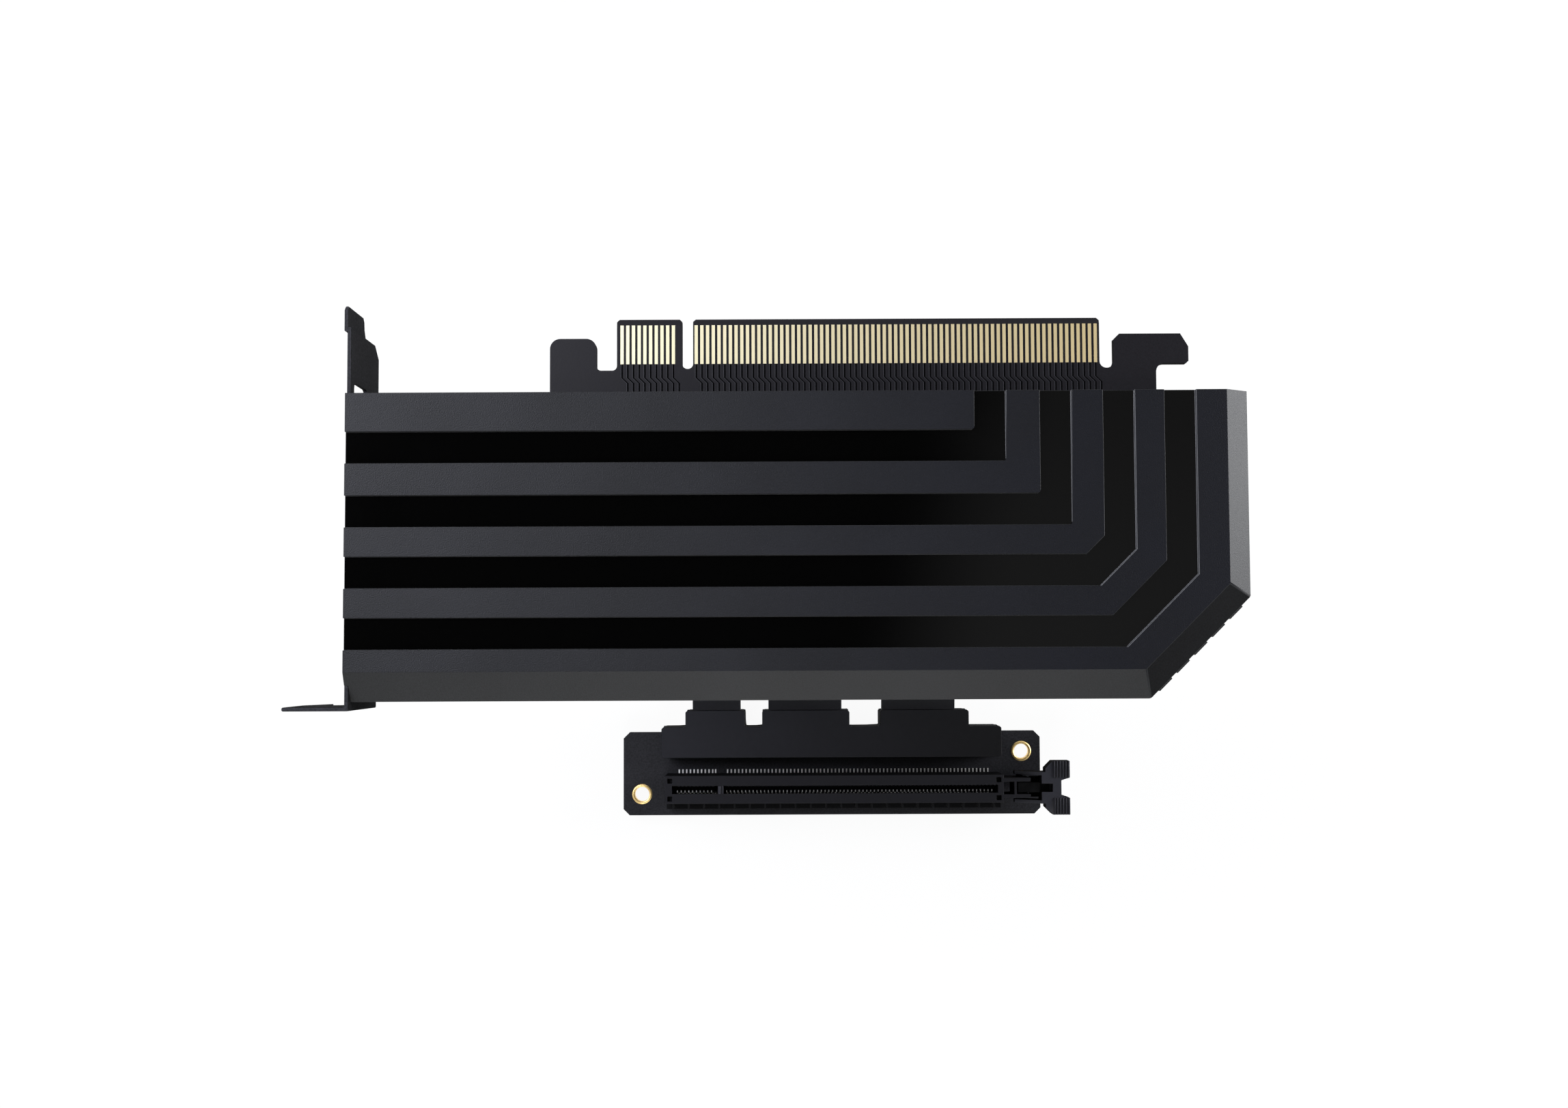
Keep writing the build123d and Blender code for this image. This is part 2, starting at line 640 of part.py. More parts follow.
def make_board():
    outline = []
    for x, y, sx, sy in (
        (BOARD_LEFT, BOARD_TOP, 1, -1),
        (BOARD_RIGHT, BOARD_TOP, -1, -1),
        (BOARD_RIGHT, BOARD_BOTTOM, -1, 1),
        (BOARD_LEFT, BOARD_BOTTOM, 1, 1),
    ):
        pair = [(x + sx * BOARD_CUT, y), (x, y + sy * BOARD_CUT)]
        outline += pair if sx == sy else pair[::-1]
    board = flat(outline, BOARD_UNDER_Z, BOARD_TOP_Z)
    for x, y in BOARD_HOLES:
        board -= rod(BOARD_HOLE_R + PLATING_WALL, x, y, BOARD_UNDER_Z, BOARD_TOP_Z)
    for x in cap_screw_places():
        board -= rod(SCREW_HOLE_R, x, CAP_SCREW_Y, BOARD_UNDER_Z, BOARD_TOP_Z)
    return board


def make_plating():
    """The gold lining and rings of the two mounting holes."""
    rings = []
    for x, y in BOARD_HOLES:
        lining = rod(BOARD_HOLE_R + PLATING_WALL, x, y, BOARD_UNDER_Z, BOARD_TOP_Z)
        upper = rod(PLATING_R, x, y, BOARD_TOP_Z, BOARD_TOP_Z + PLATING_T)
        lower = rod(PLATING_R, x, y, BOARD_UNDER_Z - PLATING_T, BOARD_UNDER_Z)
        bore = rod(BOARD_HOLE_R, x, y, BOARD_UNDER_Z - PLATING_T, BOARD_TOP_Z + PLATING_T)
        rings.append(lining + upper + lower - bore)
    return rings


# Cover over the cable ends

def cap_screw_places():
    """One screw between each two collars."""
    return [(first[1] + second[0]) / 2 for first, second in zip(COLLARS, COLLARS[1:])]


def cap_outline(top):
    """Outline of the cap, with its collars standing out to the given line."""
    points = [(CAP_LEFT, CAP_BOTTOM), (CAP_LEFT, CAP_TOP)]
    for left, right in COLLARS:
        points += [(left, CAP_TOP), (left, top), (right, top), (right, CAP_TOP)]
    return points + [(CAP_RIGHT, CAP_TOP), (CAP_RIGHT, CAP_BOTTOM)]


def cable_slot(x, width):
    """The tool for the way of one cable through a collar."""
    y_end, z_mid = ROUTE[-1]
    half_x = width / 2 + CLEAR
    half_z = CABLE_T / 2 + CLEAR
    return block(x - half_x, x + half_x, y_end - CLEAR, COLLAR_TOP, z_mid - half_z, z_mid + half_z)


def make_cap():
    body = extrude(Pos(0, 0, BOARD_TOP_Z) * make_face(Polyline(*cap_outline(COLLAR_TOP), close=True)),
                   CAP_FACE_Z - BOARD_TOP_Z)
    upright = [e for e in body.edges() if e.bounding_box().size.Z > CAP_WALL]
    body = chamfer(upright, CAP_CORNER)
    skirt = flat(cap_outline(COLLAR_TOP), BOARD_UNDER_Z, BOARD_TOP_Z)
    skirt -= block(CAP_LEFT, CAP_RIGHT, CAP_BOTTOM, BOARD_TOP, BOARD_UNDER_Z, BOARD_TOP_Z)
    cap = body + skirt
    inside = block(CAP_LEFT + CAP_WALL, CAP_RIGHT - CAP_WALL, CAP_BOTTOM + CAP_WALL, BOARD_TOP,
                   BOARD_TOP_Z, CAP_FACE_Z - CAP_WALL)
    cap -= inside
    for x, width in CABLES.values():
        cap -= cable_slot(x, width)
    for x in cap_screw_places():
        cap += rod(CAP_POST_R, x, CAP_SCREW_Y, BOARD_TOP_Z, CAP_FACE_Z - CAP_WALL)
        cap -= rod(SCREW_R, x, CAP_SCREW_Y, BOARD_TOP_Z, CAP_FACE_Z - CAP_WALL)
    return cap


def make_cap_back():
    """The plate behind the slot board that closes the cap."""
    plate = make_face(Polyline(*cap_outline(COLLAR_TOP), close=True))
    back = extrude(Pos(0, 0, CAP_BACK_Z) * plate, CAP_BACK_T)
    upright = [e for e in back.edges() if e.bounding_box().size.Z > CAP_BACK_T / 2]
    back = chamfer(upright, CAP_CORNER)
    for x in cap_screw_places():
        back -= rod(SCREW_HOLE_R, x, CAP_SCREW_Y, CAP_BACK_Z, BOARD_UNDER_Z)
        back -= rod(RECESS_R, x, CAP_SCREW_Y, CAP_BACK_Z, CAP_BACK_Z + RECESS_DEPTH)
    return back


# Slot connector

def make_housing():
    housing = block(SLOT_LEFT, SLOT_RIGHT, SLOT_FRONT, SLOT_BACK, SLOT_FOOT_Z, SLOT_FACE_Z)
    housing += block(SLOT_LEFT, SLOT_RIGHT, SLOT_FRONT - FOOT_OUT, SLOT_FRONT,
                     SLOT_FOOT_Z, BOARD_TOP_Z + FOOT_H)
    rib_count = int((SLOT_RIGHT - SLOT_LEFT - FIRST_RIB_IN - RIB_W) / RIB_PITCH) + 1
    for i in range(rib_count):
        x = SLOT_LEFT + FIRST_RIB_IN + i * RIB_PITCH
        housing += block(x - RIB_W / 2, x + RIB_W / 2, SLOT_FRONT - RIB_OUT, SLOT_FRONT,
                         BOARD_TOP_Z + FOOT_H, SLOT_FACE_Z - RIB_DROP)
    for x0, x1 in ((MOUTH_LEFT, -SLOT_KEY_W / 2), (SLOT_KEY_W / 2, MOUTH_RIGHT)):
        housing -= block(x0, x1, SLOT_Y - MOUTH_W / 2, SLOT_Y + MOUTH_W / 2,
                         SLOT_FOOT_Z + MOUTH_FLOOR, SLOT_FACE_Z)
        housing -= block(x0, x1, SLOT_Y - MOUTH_CHAMBER_W / 2, SLOT_Y + MOUTH_CHAMBER_W / 2,
                         SLOT_FOOT_Z, SLOT_FACE_Z - MOUTH_LIP)
        housing += block(x0, x1, SLOT_Y - STOP_W / 2, SLOT_Y + STOP_W / 2,
                         SLOT_FOOT_Z, SLOT_FOOT_Z + MOUTH_FLOOR)
    for x in (SLOT_LEFT + POCKET, SLOT_RIGHT - POCKET):
        for y in (SLOT_BACK - POCKET, SLOT_FRONT + POCKET):
            housing -= Pos(x, y, SLOT_FACE_Z - POCKET_DEPTH / 2) * Box(POCKET, POCKET, POCKET_DEPTH)
    for x in (SLOT_LEFT, SLOT_RIGHT - POCKET):
        housing += block(x, x + POCKET, SLOT_FRONT, SLOT_BACK, BOARD_TOP_Z, SLOT_FOOT_Z)
    return housing + make_latch_arms()


def make_latch_arms():
    """The two side arms and the cross rib that carry the latch, with its pivot holes."""
    low = SLOT_FACE_Z - ARM_H
    arms = []
    for side in (1, -1):
        inner = ARM_Y + side * ARM_GAP / 2
        outer = inner + side * ARM_W
        arm = block(SLOT_RIGHT, SLOT_RIGHT + ARM_LEN, min(inner, outer), max(inner, outer), low, SLOT_FACE_Z)
        hole = Cylinder(PIVOT_R + PIVOT_GAP, ARM_W, rotation=(90, 0, 0))
        arms.append(arm - Pos(PIVOT_X, (inner + outer) / 2, PIVOT_Z) * hole)
    cross_x = SLOT_RIGHT + CROSS_FROM_SLOT
    cross = block(cross_x, cross_x + CROSS_W, ARM_Y - ARM_GAP / 2, ARM_Y + ARM_GAP / 2, low, SLOT_FACE_Z)
    return arms[0] + arms[1] + cross


def contact_profile(side):
    """A contact's outline in Y and Z: tail on the board, and a blade that leans in to its tip."""
    wall = SLOT_Y + side * (MOUTH_CHAMBER_W / 2 - CONTACT_FREE / 2)
    inside = wall - side * CONTACT_T
    tip = inside - side * TIP_IN
    tail = SLOT_Y + side * (SLOT_W / 2 + TAIL_OUT)
    floor = BOARD_TOP_Z
    top = SLOT_FACE_Z - MOUTH_LIP - TIP_DROP
    return [
        (tail, floor),
        (tail, floor + CONTACT_T),
        (wall, floor + CONTACT_T),
        (tip + side * CONTACT_T, top),
        (tip, top),
        (inside, floor),
    ]


def make_contacts(side):
    profile = contact_profile(side)
    return [along_x(profile, x - CONTACT_W / 2, x + CONTACT_W / 2) for x in pin_places(SHORT_PINS)]


# Latch

def make_latch():
    """Two arms on pivots, a smooth block with a throat for the card, and a ribbed grip."""
    half_throat = THROAT_W / 2
    arm_inner = ARM_GAP / 2 + ARM_W + SIDE_GAP
    arm_outer = arm_inner + LATCH_ARM_W
    cheek = block(CHEEK_LEFT, CHEEK_RIGHT, ARM_Y - arm_outer, ARM_Y + arm_outer,
                  CHEEK_BOTTOM_Z, LATCH_FACE_Z)
    half_grip = GRIP_W / 2
    notch = GRIP_NOTCH_W / 2
    grip_outline = [
        (CHEEK_RIGHT - GRIP_SLANT, ARM_Y + arm_outer),
        (CHEEK_RIGHT - GRIP_SLANT, ARM_Y + half_grip - GRIP_SLANT),
        (CHEEK_RIGHT, ARM_Y + half_grip),
        (GRIP_RIGHT, ARM_Y + half_grip),
        (GRIP_RIGHT, ARM_Y + notch + GRIP_NOTCH_SLANT),
        (GRIP_RIGHT - GRIP_NOTCH, ARM_Y + notch),
        (GRIP_RIGHT - GRIP_NOTCH, ARM_Y - notch),
        (GRIP_RIGHT, ARM_Y - notch - GRIP_NOTCH_SLANT),
        (GRIP_RIGHT, ARM_Y - half_grip),
        (CHEEK_RIGHT, ARM_Y - half_grip),
        (CHEEK_RIGHT - GRIP_SLANT, ARM_Y - half_grip + GRIP_SLANT),
        (CHEEK_RIGHT - GRIP_SLANT, ARM_Y - arm_outer),
    ]
    latch = cheek + flat(grip_outline, LATCH_FACE_Z - GRIP_H, LATCH_FACE_Z)
    latch -= block(CHEEK_LEFT, CHEEK_RIGHT, ARM_Y - half_throat, ARM_Y + half_throat,
                   CHEEK_BOTTOM_Z, LATCH_FACE_Z)
    latch += block(CHEEK_RIGHT - BRIDGE_T, CHEEK_RIGHT, ARM_Y - half_throat, ARM_Y + half_throat,
                   CHEEK_BOTTOM_Z, LATCH_FACE_Z - BRIDGE_DROP)
    for i in range(GRIP_RIBS):
        x = GRIP_RIGHT - GRIP_RIB_PITCH / 2 - i * GRIP_RIB_PITCH
        for side in (1, -1):
            y0 = ARM_Y + side * (notch + GRIP_NOTCH_SLANT)
            y1 = ARM_Y + side * half_grip
            latch += block(x - GRIP_RIB_W / 2, x + GRIP_RIB_W / 2, min(y0, y1), max(y0, y1),
                           LATCH_FACE_Z, LATCH_FACE_Z + GRIP_RIB_H)
    for side in (1, -1):
        y0 = ARM_Y + side * arm_inner
        y1 = ARM_Y + side * arm_outer
        arm = [
            (PIVOT_X - LATCH_ARM_H, PIVOT_Z - LATCH_ARM_H / 2),
            (PIVOT_X - LATCH_ARM_H, PIVOT_Z + LATCH_ARM_H),
            (CHEEK_LEFT, LATCH_FACE_Z),
            (CHEEK_LEFT, CHEEK_BOTTOM_Z),
            (PIVOT_X + LATCH_ARM_H, PIVOT_Z - LATCH_ARM_H),
        ]
        arm_face = make_face(Polyline(*[(x, min(y0, y1), z) for x, z in arm], close=True))
        latch += extrude(arm_face, LATCH_ARM_W, dir=(0, 1, 0))
        pin_end = ARM_Y + side * (ARM_GAP / 2 + PIN_SHORT)
        pin = Cylinder(PIVOT_R, abs(y1 - pin_end), rotation=(90, 0, 0))
        latch += Pos(PIVOT_X, (y1 + pin_end) / 2, PIVOT_Z) * pin
    return latch


def main():
    os.makedirs("parts", exist_ok=True)
    nodes = {
        "riser_card": make_card(),
        "edge_pads_upper": make_pads(1, SHORT_PINS - 1),
        "edge_pads_lower": make_pads(-1, SHORT_PINS),
        "upper_cover": make_upper_cover(),
        "lower_cover": make_lower_cover(),
        "bracket": make_bracket(),
        "cable_comb": make_comb(),
        "slot_board": make_board(),
        "hole_plating": make_plating(),
        "cable_cap": make_cap(),
        "cable_cap_back": make_cap_back(),
        "slot_housing": make_housing(),
        "slot_contacts_back": make_contacts(1),
        "slot_contacts_front": make_contacts(-1),
        "latch": make_latch(),
    }
    for name, (x, width) in CABLES.items():
        nodes[name] = make_cable(x, width)
    for name, shape in nodes.items():
        solids = shape if isinstance(shape, list) else [shape]
        export_step(Compound(children=solids), f"parts/{name}.step")
    path, radii = cable_path()
    print("cable arc radii", [round(r, 1) for r in radii], "length", round(path.length, 1))


main()
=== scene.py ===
# %% [markdown]
# # Covered riser cable
# This lesson dresses a measured model of a riser cable: an edge card under a striped cover, with a bracket
# at its left end, and a slot board that hangs on three flat cables.
# The shapes that hold and move come from the measured solids. What is added here is finish: soft edges,
# grain, gloss, plating, copper traces, cable layers and screws.

# %% Load the measured model
from math import pi, radians

import bmesh
import bpy
from mathutils import Matrix, Vector


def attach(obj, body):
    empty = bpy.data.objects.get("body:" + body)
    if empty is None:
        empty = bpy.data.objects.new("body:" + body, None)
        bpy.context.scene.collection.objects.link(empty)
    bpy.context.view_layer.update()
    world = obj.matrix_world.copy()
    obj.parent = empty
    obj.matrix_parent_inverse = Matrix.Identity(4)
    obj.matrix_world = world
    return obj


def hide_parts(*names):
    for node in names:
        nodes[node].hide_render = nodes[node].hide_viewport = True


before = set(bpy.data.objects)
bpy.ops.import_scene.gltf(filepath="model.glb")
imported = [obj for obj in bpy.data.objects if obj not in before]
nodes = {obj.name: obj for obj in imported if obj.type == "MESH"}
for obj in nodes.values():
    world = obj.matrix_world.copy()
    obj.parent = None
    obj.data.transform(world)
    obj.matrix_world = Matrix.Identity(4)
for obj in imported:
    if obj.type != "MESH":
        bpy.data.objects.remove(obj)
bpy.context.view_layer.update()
MM = 0.001
print("sub-parts:", len(nodes))

# %% [markdown]
# ## The camera
# The picture was taken from above the striped cover with a 35 mm lens, and the slot board lies 147 mm
# further away than the card, so it looks a third smaller. A long lens from far off would lose that.
# The place and the small tilt were worked out from the two rows of contacts, which have the same pitch.

# %% Camera
camera_data = bpy.data.cameras.new("camera")
camera_data.lens = 34.993
camera_data.sensor_width = 36.0
camera_data.shift_x = 0.0013
camera_data.shift_y = 0.0168
camera_data.clip_start = 0.01
camera = bpy.data.objects.new("camera", camera_data)
camera.location = (0.016356, -0.058941, 0.26579)
camera.rotation_euler = (Matrix.Rotation(0.0488, 3, "X") @ Matrix.Rotation(-0.0045, 3, "Z")).to_euler()
bpy.context.scene.collection.objects.link(camera)
bpy.context.scene.camera = camera
print("camera height:", round(camera.location.z, 3), "m")

# %% [markdown]
# ## Helpers for materials
# Each finish is a small node tree. Two helpers keep the cells short: one starts a material and hands back
# its tree and main shader, and one adds a node and sets its values.

# %% Material helpers
def new_finish(name, color, roughness, metallic=0.0, specular=0.5):
    finish = bpy.data.materials.new(name)
    finish.use_nodes = True
    shader = finish.node_tree.nodes["Principled BSDF"]
    shader.inputs["Base Color"].default_value = (*color, 1.0)
    shader.inputs["Roughness"].default_value = roughness
    shader.inputs["Metallic"].default_value = metallic
    shader.inputs["Specular IOR Level"].default_value = specular
    return finish, finish.node_tree, shader


def add_node(tree, kind, **values):
    node = tree.nodes.new(kind)
    for name, value in values.items():
        if name in node.inputs:
            node.inputs[name].default_value = value
        else:
            setattr(node, name, value)
    return node

# %% [markdown]
# ## Moulded grain
# The cover, boards and bracket all have a fine pebbled skin, only its size and depth differ. So the grain
# is one node group: two noises of different size vary the colour a little, and the finer one also gives a
# height for the bump and varies the roughness a little. It reads Object coordinates, so it stays on the piece.

# %% Grain group
def make_grain_group():
    group = bpy.data.node_groups.new("moulded_grain", "ShaderNodeTree")
    for name, kind, default in (
        ("Cells per metre", "NodeSocketFloat", 2200.0),
        ("Color", "NodeSocketColor", (0.02, 0.02, 0.022, 1.0)),
        ("Color change", "NodeSocketFloat", 0.25),
        ("Roughness", "NodeSocketFloat", 0.55),
        ("Roughness change", "NodeSocketFloat", 0.08),
    ):
        socket = group.interface.new_socket(name, in_out="INPUT", socket_type=kind)
        socket.default_value = default
    for name, kind in (("Color", "NodeSocketColor"), ("Roughness", "NodeSocketFloat"), ("Height", "NodeSocketFloat")):
        group.interface.new_socket(name, in_out="OUTPUT", socket_type=kind)
    entry = group.nodes.new("NodeGroupInput")
    result = group.nodes.new("NodeGroupOutput")
    place = group.nodes.new("ShaderNodeTexCoord")
    pebbles = add_node(group, "ShaderNodeTexNoise", Detail=1.5, Roughness=0.5)
    cloud = add_node(group, "ShaderNodeTexNoise", Scale=60.0, Detail=2.0)
    link = group.links.new
    link(place.outputs["Object"], pebbles.inputs["Vector"])
    link(place.outputs["Object"], cloud.inputs["Vector"])
    link(entry.outputs["Cells per metre"], pebbles.inputs["Scale"])
    centred = add_node(group, "ShaderNodeMath", operation="SUBTRACT")
    centred.inputs[1].default_value = 0.5
    link(pebbles.outputs["Fac"], centred.inputs[0])
    both = add_node(group, "ShaderNodeMath", operation="MULTIPLY_ADD")
    both.inputs[1].default_value = 2.0
    link(centred.outputs[0], both.inputs[0])
    link(cloud.outputs["Fac"], both.inputs[2])
    amount = add_node(group, "ShaderNodeMath", operation="MULTIPLY")
    link(both.outputs[0], amount.inputs[0])
    link(entry.outputs["Color change"], amount.inputs[1])
    lift = add_node(group, "ShaderNodeMath", operation="ADD")
    lift.inputs[1].default_value = 0.9
    link(amount.outputs[0], lift.inputs[0])
    tint = add_node(group, "ShaderNodeVectorMath", operation="SCALE")
    link(entry.outputs["Color"], tint.inputs[0])
    link(lift.outputs[0], tint.inputs["Scale"])
    link(tint.outputs[0], result.inputs["Color"])
    rough = add_node(group, "ShaderNodeMath", operation="MULTIPLY_ADD")
    link(centred.outputs[0], rough.inputs[0])
    link(entry.outputs["Roughness change"], rough.inputs[1])
    link(entry.outputs["Roughness"], rough.inputs[2])
    link(rough.outputs[0], result.inputs["Roughness"])
    link(pebbles.outputs["Fac"], result.inputs["Height"])
    return group


grain_group = make_grain_group()


def painted_falloff(tree, color, shaded_far_color):
    """A painted falloff of light: the colour darkens to the shaded far colour from the left end of the contacts to
    the right one, by the X of the object.
    """
    place = tree.nodes.new("ShaderNodeTexCoord")
    apart = tree.nodes.new("ShaderNodeSeparateXYZ")
    falloff_ramp = add_node(tree, "ShaderNodeMapRange")
    falloff_ramp.inputs["From Min"].default_value = -0.012
    falloff_ramp.inputs["From Max"].default_value = 0.073
    lit_to_shaded_tones = add_node(tree, "ShaderNodeMix", data_type="RGBA")
    lit_to_shaded_tones.inputs[6].default_value = (*color, 1.0)
    lit_to_shaded_tones.inputs[7].default_value = (*shaded_far_color, 1.0)
    tree.links.new(place.outputs["Object"], apart.inputs[0])
    tree.links.new(apart.outputs["X"], falloff_ramp.inputs["Value"])
    tree.links.new(falloff_ramp.outputs["Result"], lit_to_shaded_tones.inputs["Factor"])
    return lit_to_shaded_tones.outputs[2]


def grained(name, color, roughness, cells, depth, change=0.25, rough_change=0.1, specular=0.28, shaded_far_color=None):
    """A moulded or coated finish: cells per metre, and the depth of its pebbles in metres. A shaded far colour paints
    a falloff of light into its colour along X.
    """
    finish, tree, shader = new_finish(name, color, roughness, specular=specular)
    grain = add_node(tree, "ShaderNodeGroup", node_tree=grain_group)
    grain.inputs["Cells per metre"].default_value = cells
    grain.inputs["Color"].default_value = (*color, 1.0)
    grain.inputs["Color change"].default_value = change
    grain.inputs["Roughness"].default_value = roughness
    grain.inputs["Roughness change"].default_value = rough_change
    bump = add_node(tree, "ShaderNodeBump", Strength=1.0, Distance=depth)
    # A shaded far colour paints a falloff of light into the grain's colour.
    if shaded_far_color:
        tree.links.new(painted_falloff(tree, color, shaded_far_color), grain.inputs["Color"])
    tree.links.new(grain.outputs["Color"], shader.inputs["Base Color"])
    tree.links.new(grain.outputs["Roughness"], shader.inputs["Roughness"])
    tree.links.new(grain.outputs["Height"], bump.inputs["Height"])
    tree.links.new(bump.outputs["Normal"], shader.inputs["Normal"])
    return finish

# %% [markdown]
# ## The finishes
# Everything is black, and yet no two blacks are alike: leathery on the raised stripes, like glass in the
# grooves, powdery on the bracket, satin on the cable cap, and dusty on the two boards.

# %% Plastics, boards and coating
# Painted falloff of light: the stripes darken from left to right along X.
stripe_finish = grained("stripe_pebbled", (0.0062, 0.0064, 0.0078), 0.5, 5000.0, 0.00005, 1.3, specular=0.3,
                        shaded_far_color=(0.0007, 0.0010, 0.0030))
cover_finish = grained("cover_fine", (0.0078, 0.0082, 0.009), 0.5, 4200.0, 0.000016, 0.9)
# Painted shade: a darker, duller copy of the cover finish for the large diagonal slope.
painted_shade_finish = grained("cover_painted_shade", (0.0028, 0.0029, 0.0032), 0.6, 3600.0, 0.000016, 1.2, specular=0.08)
# Painted highlight: a light grey for the left-facing soft edges of the right-hand stripes.
edge_highlight_finish = grained("stripe_edge_painted_highlight", (0.15, 0.15, 0.158), 0.45, 3000.0, 0.00001, 0.2)
board_finish = grained("board_mask", (0.0078, 0.0078, 0.0094), 0.5, 2300.0, 0.00003, 1.5, specular=0.2)
card_finish = grained("card_mask", (0.0018, 0.0012, 0.0036), 0.5, 3000.0, 0.00001, 0.2, specular=0.33)
coat_finish = grained("bracket_powder", (0.017, 0.017, 0.02), 0.6, 2600.0, 0.00004, 1.0, 0.1, 0.1)
# Painted falloff of light: the cable cap darkens from left to right along X.
cap_finish = grained("cap_satin", (0.0134, 0.0135, 0.017), 0.5, 900.0, 0.000004, 0.08, 0.05, 0.14,
                     (0.0045, 0.0045, 0.0054))
housing_finish = grained("housing_satin", (0.0078, 0.0077, 0.0102), 0.45, 1500.0, 0.000006, 0.1, 0.05, 0.2)
latch_finish = grained("latch_satin", (0.02, 0.02, 0.027), 0.45, 1500.0, 0.000006, 0.1, 0.05)
cable_finish = grained("cable_jacket", (0.0175, 0.0175, 0.02), 0.4, 1200.0, 0.000008, 0.15, 0.08, 0.4)
trace_finish = grained("trace_gap", (0.0006, 0.0006, 0.0008), 0.8, 3000.0, 0.000005, 0.1, 0.05, 0.03)
screw_finish = grained("screw_black", (0.03, 0.03, 0.032), 0.35, 2400.0, 0.000006, 0.2)
# Painted shade: steep walls, the bracket's walls and the slot's foot take dull, near-black finishes for the shade
# they lie in.
shaded_wall_finish = grained("wall_painted_shade", (0.003, 0.003, 0.0036), 0.8, 2200.0, 0.00001, 0.3, 0.05, 0.03)
shaded_foot_finish = grained("foot_painted_shade", (0.0075, 0.0075, 0.008), 0.8, 2200.0, 0.00001, 0.3, 0.05, 0.03)
shaded_coat_wall_finish = grained("bracket_wall_painted_shade", (0.0055, 0.0055, 0.006), 0.8, 2600.0, 0.00004, 1.5, 0.1, 0.02)

# %% [markdown]
# ## Gloss in the grooves
# The grooves between the stripes are polished and mirror the dark studio above. A thin clear coat would do
# too, but a low roughness with a faint cloud in it is simpler and keeps the reflection alive.

# %% Gloss black
def gloss_black():
    finish, tree, shader = new_finish("groove_gloss", (0.0006, 0.0006, 0.0006), 0.1)
    place = tree.nodes.new("ShaderNodeTexCoord")
    cloud = add_node(tree, "ShaderNodeTexNoise", Scale=90.0, Detail=3.0)
    spread = add_node(tree, "ShaderNodeMapRange")
    spread.inputs["To Min"].default_value = 0.04
    spread.inputs["To Max"].default_value = 0.09
    tree.links.new(place.outputs["Object"], cloud.inputs["Vector"])
    tree.links.new(cloud.outputs["Fac"], spread.inputs["Value"])
    tree.links.new(spread.outputs["Result"], shader.inputs["Roughness"])
    return finish


groove_finish = gloss_black()

# %% [markdown]
# ## Plated metal
# Finger pads and rings are gold over nickel, and the slot's contacts are tinned. Real plating is brushed
# by the tool that made it, so a noise that is stretched along the pad changes its roughness in streaks.

# %% Gold and tin
def plated(name, color, roughness, streak, shaded_far_color=None):
    """Plated metal; with a shaded far colour, a painted falloff of light darkens its tone from the left end of the
    object to the right one.
    """
    finish, tree, shader = new_finish(name, color, roughness, metallic=1.0)
    place = tree.nodes.new("ShaderNodeTexCoord")
    stretch = add_node(tree, "ShaderNodeMapping")
    stretch.inputs["Scale"].default_value = (3500.0, 250.0, 3500.0)
    noise = add_node(tree, "ShaderNodeTexNoise", Scale=1.0, Detail=2.0)
    spread = add_node(tree, "ShaderNodeMapRange")
    spread.inputs["To Min"].default_value = roughness - streak
    spread.inputs["To Max"].default_value = roughness + streak
    tree.links.new(place.outputs["Object"], stretch.inputs["Vector"])
    tree.links.new(stretch.outputs["Vector"], noise.inputs["Vector"])
    tree.links.new(noise.outputs["Fac"], spread.inputs["Value"])
    tree.links.new(spread.outputs["Result"], shader.inputs["Roughness"])
    # A shaded far colour paints a falloff of light into the base colour.
    if shaded_far_color:
        tree.links.new(painted_falloff(tree, color, shaded_far_color), shader.inputs["Base Color"])
    return finish


# Painted falloff of light: the gold pads darken from cream to tan from left to right along X.
gold_finish = plated("pad_gold", (1.0, 0.94, 0.66), 0.5, 0.02, (1.0, 0.82, 0.46))
ring_finish = plated("ring_gold", (1.0, 0.74, 0.32), 0.42, 0.0)
tin_finish = plated("contact_tin", (0.95, 0.94, 0.92), 0.38, 0.04)
# Painted shade: the contact blades are the same tin, darkened for the shade of the slot's mouth.
shaded_blade_finish = plated("contact_blade_painted_shade", (0.2, 0.2, 0.2), 0.5, 0.04)

# %% [markdown]
# ## Soft edges on the measured solids
# A moulded or sawn edge is never sharp: it catches a thin line of light, and that line is most of what one
# sees of a black object. The measured solids have sharp edges and loose triangles. So each is copied, its
# doubled points are merged, its flat faces are made whole, and its long edges get a small bevel.

# %% Helper that copies and softens a solid
def flat_copy(node):
    """A bmesh of a measured node with shared points and whole flat faces."""
    shape = bmesh.new()
    shape.from_mesh(nodes[node].data)
    bmesh.ops.remove_doubles(shape, verts=shape.verts, dist=0.000002)
    bmesh.ops.dissolve_limit(shape, angle_limit=radians(0.4), verts=shape.verts, edges=shape.edges)
    return shape


def soften(shape, width, shortest, clamp=True):
    """Bevels the sharp edges that are longer than the shortest length, and gives back the new faces."""
    edges = []
    for edge in shape.edges:
        if len(edge.link_faces) == 2 and edge.calc_length() > shortest:
            if edge.calc_face_angle(0.0) > radians(14):
                edges.append(edge)
    made = bmesh.ops.bevel(shape, geom=edges, offset=width, offset_type="OFFSET", segments=2, profile=0.5,
                           affect="EDGES", clamp_overlap=clamp, material=-1)
    return made["faces"]


def part_walls(shape):
    """Steep walls take the second finish, all other faces the first."""
    shape.normal_update()
    for face in shape.faces:
        face.material_index = 1 if abs(face.normal.z) < 0.5 else 0


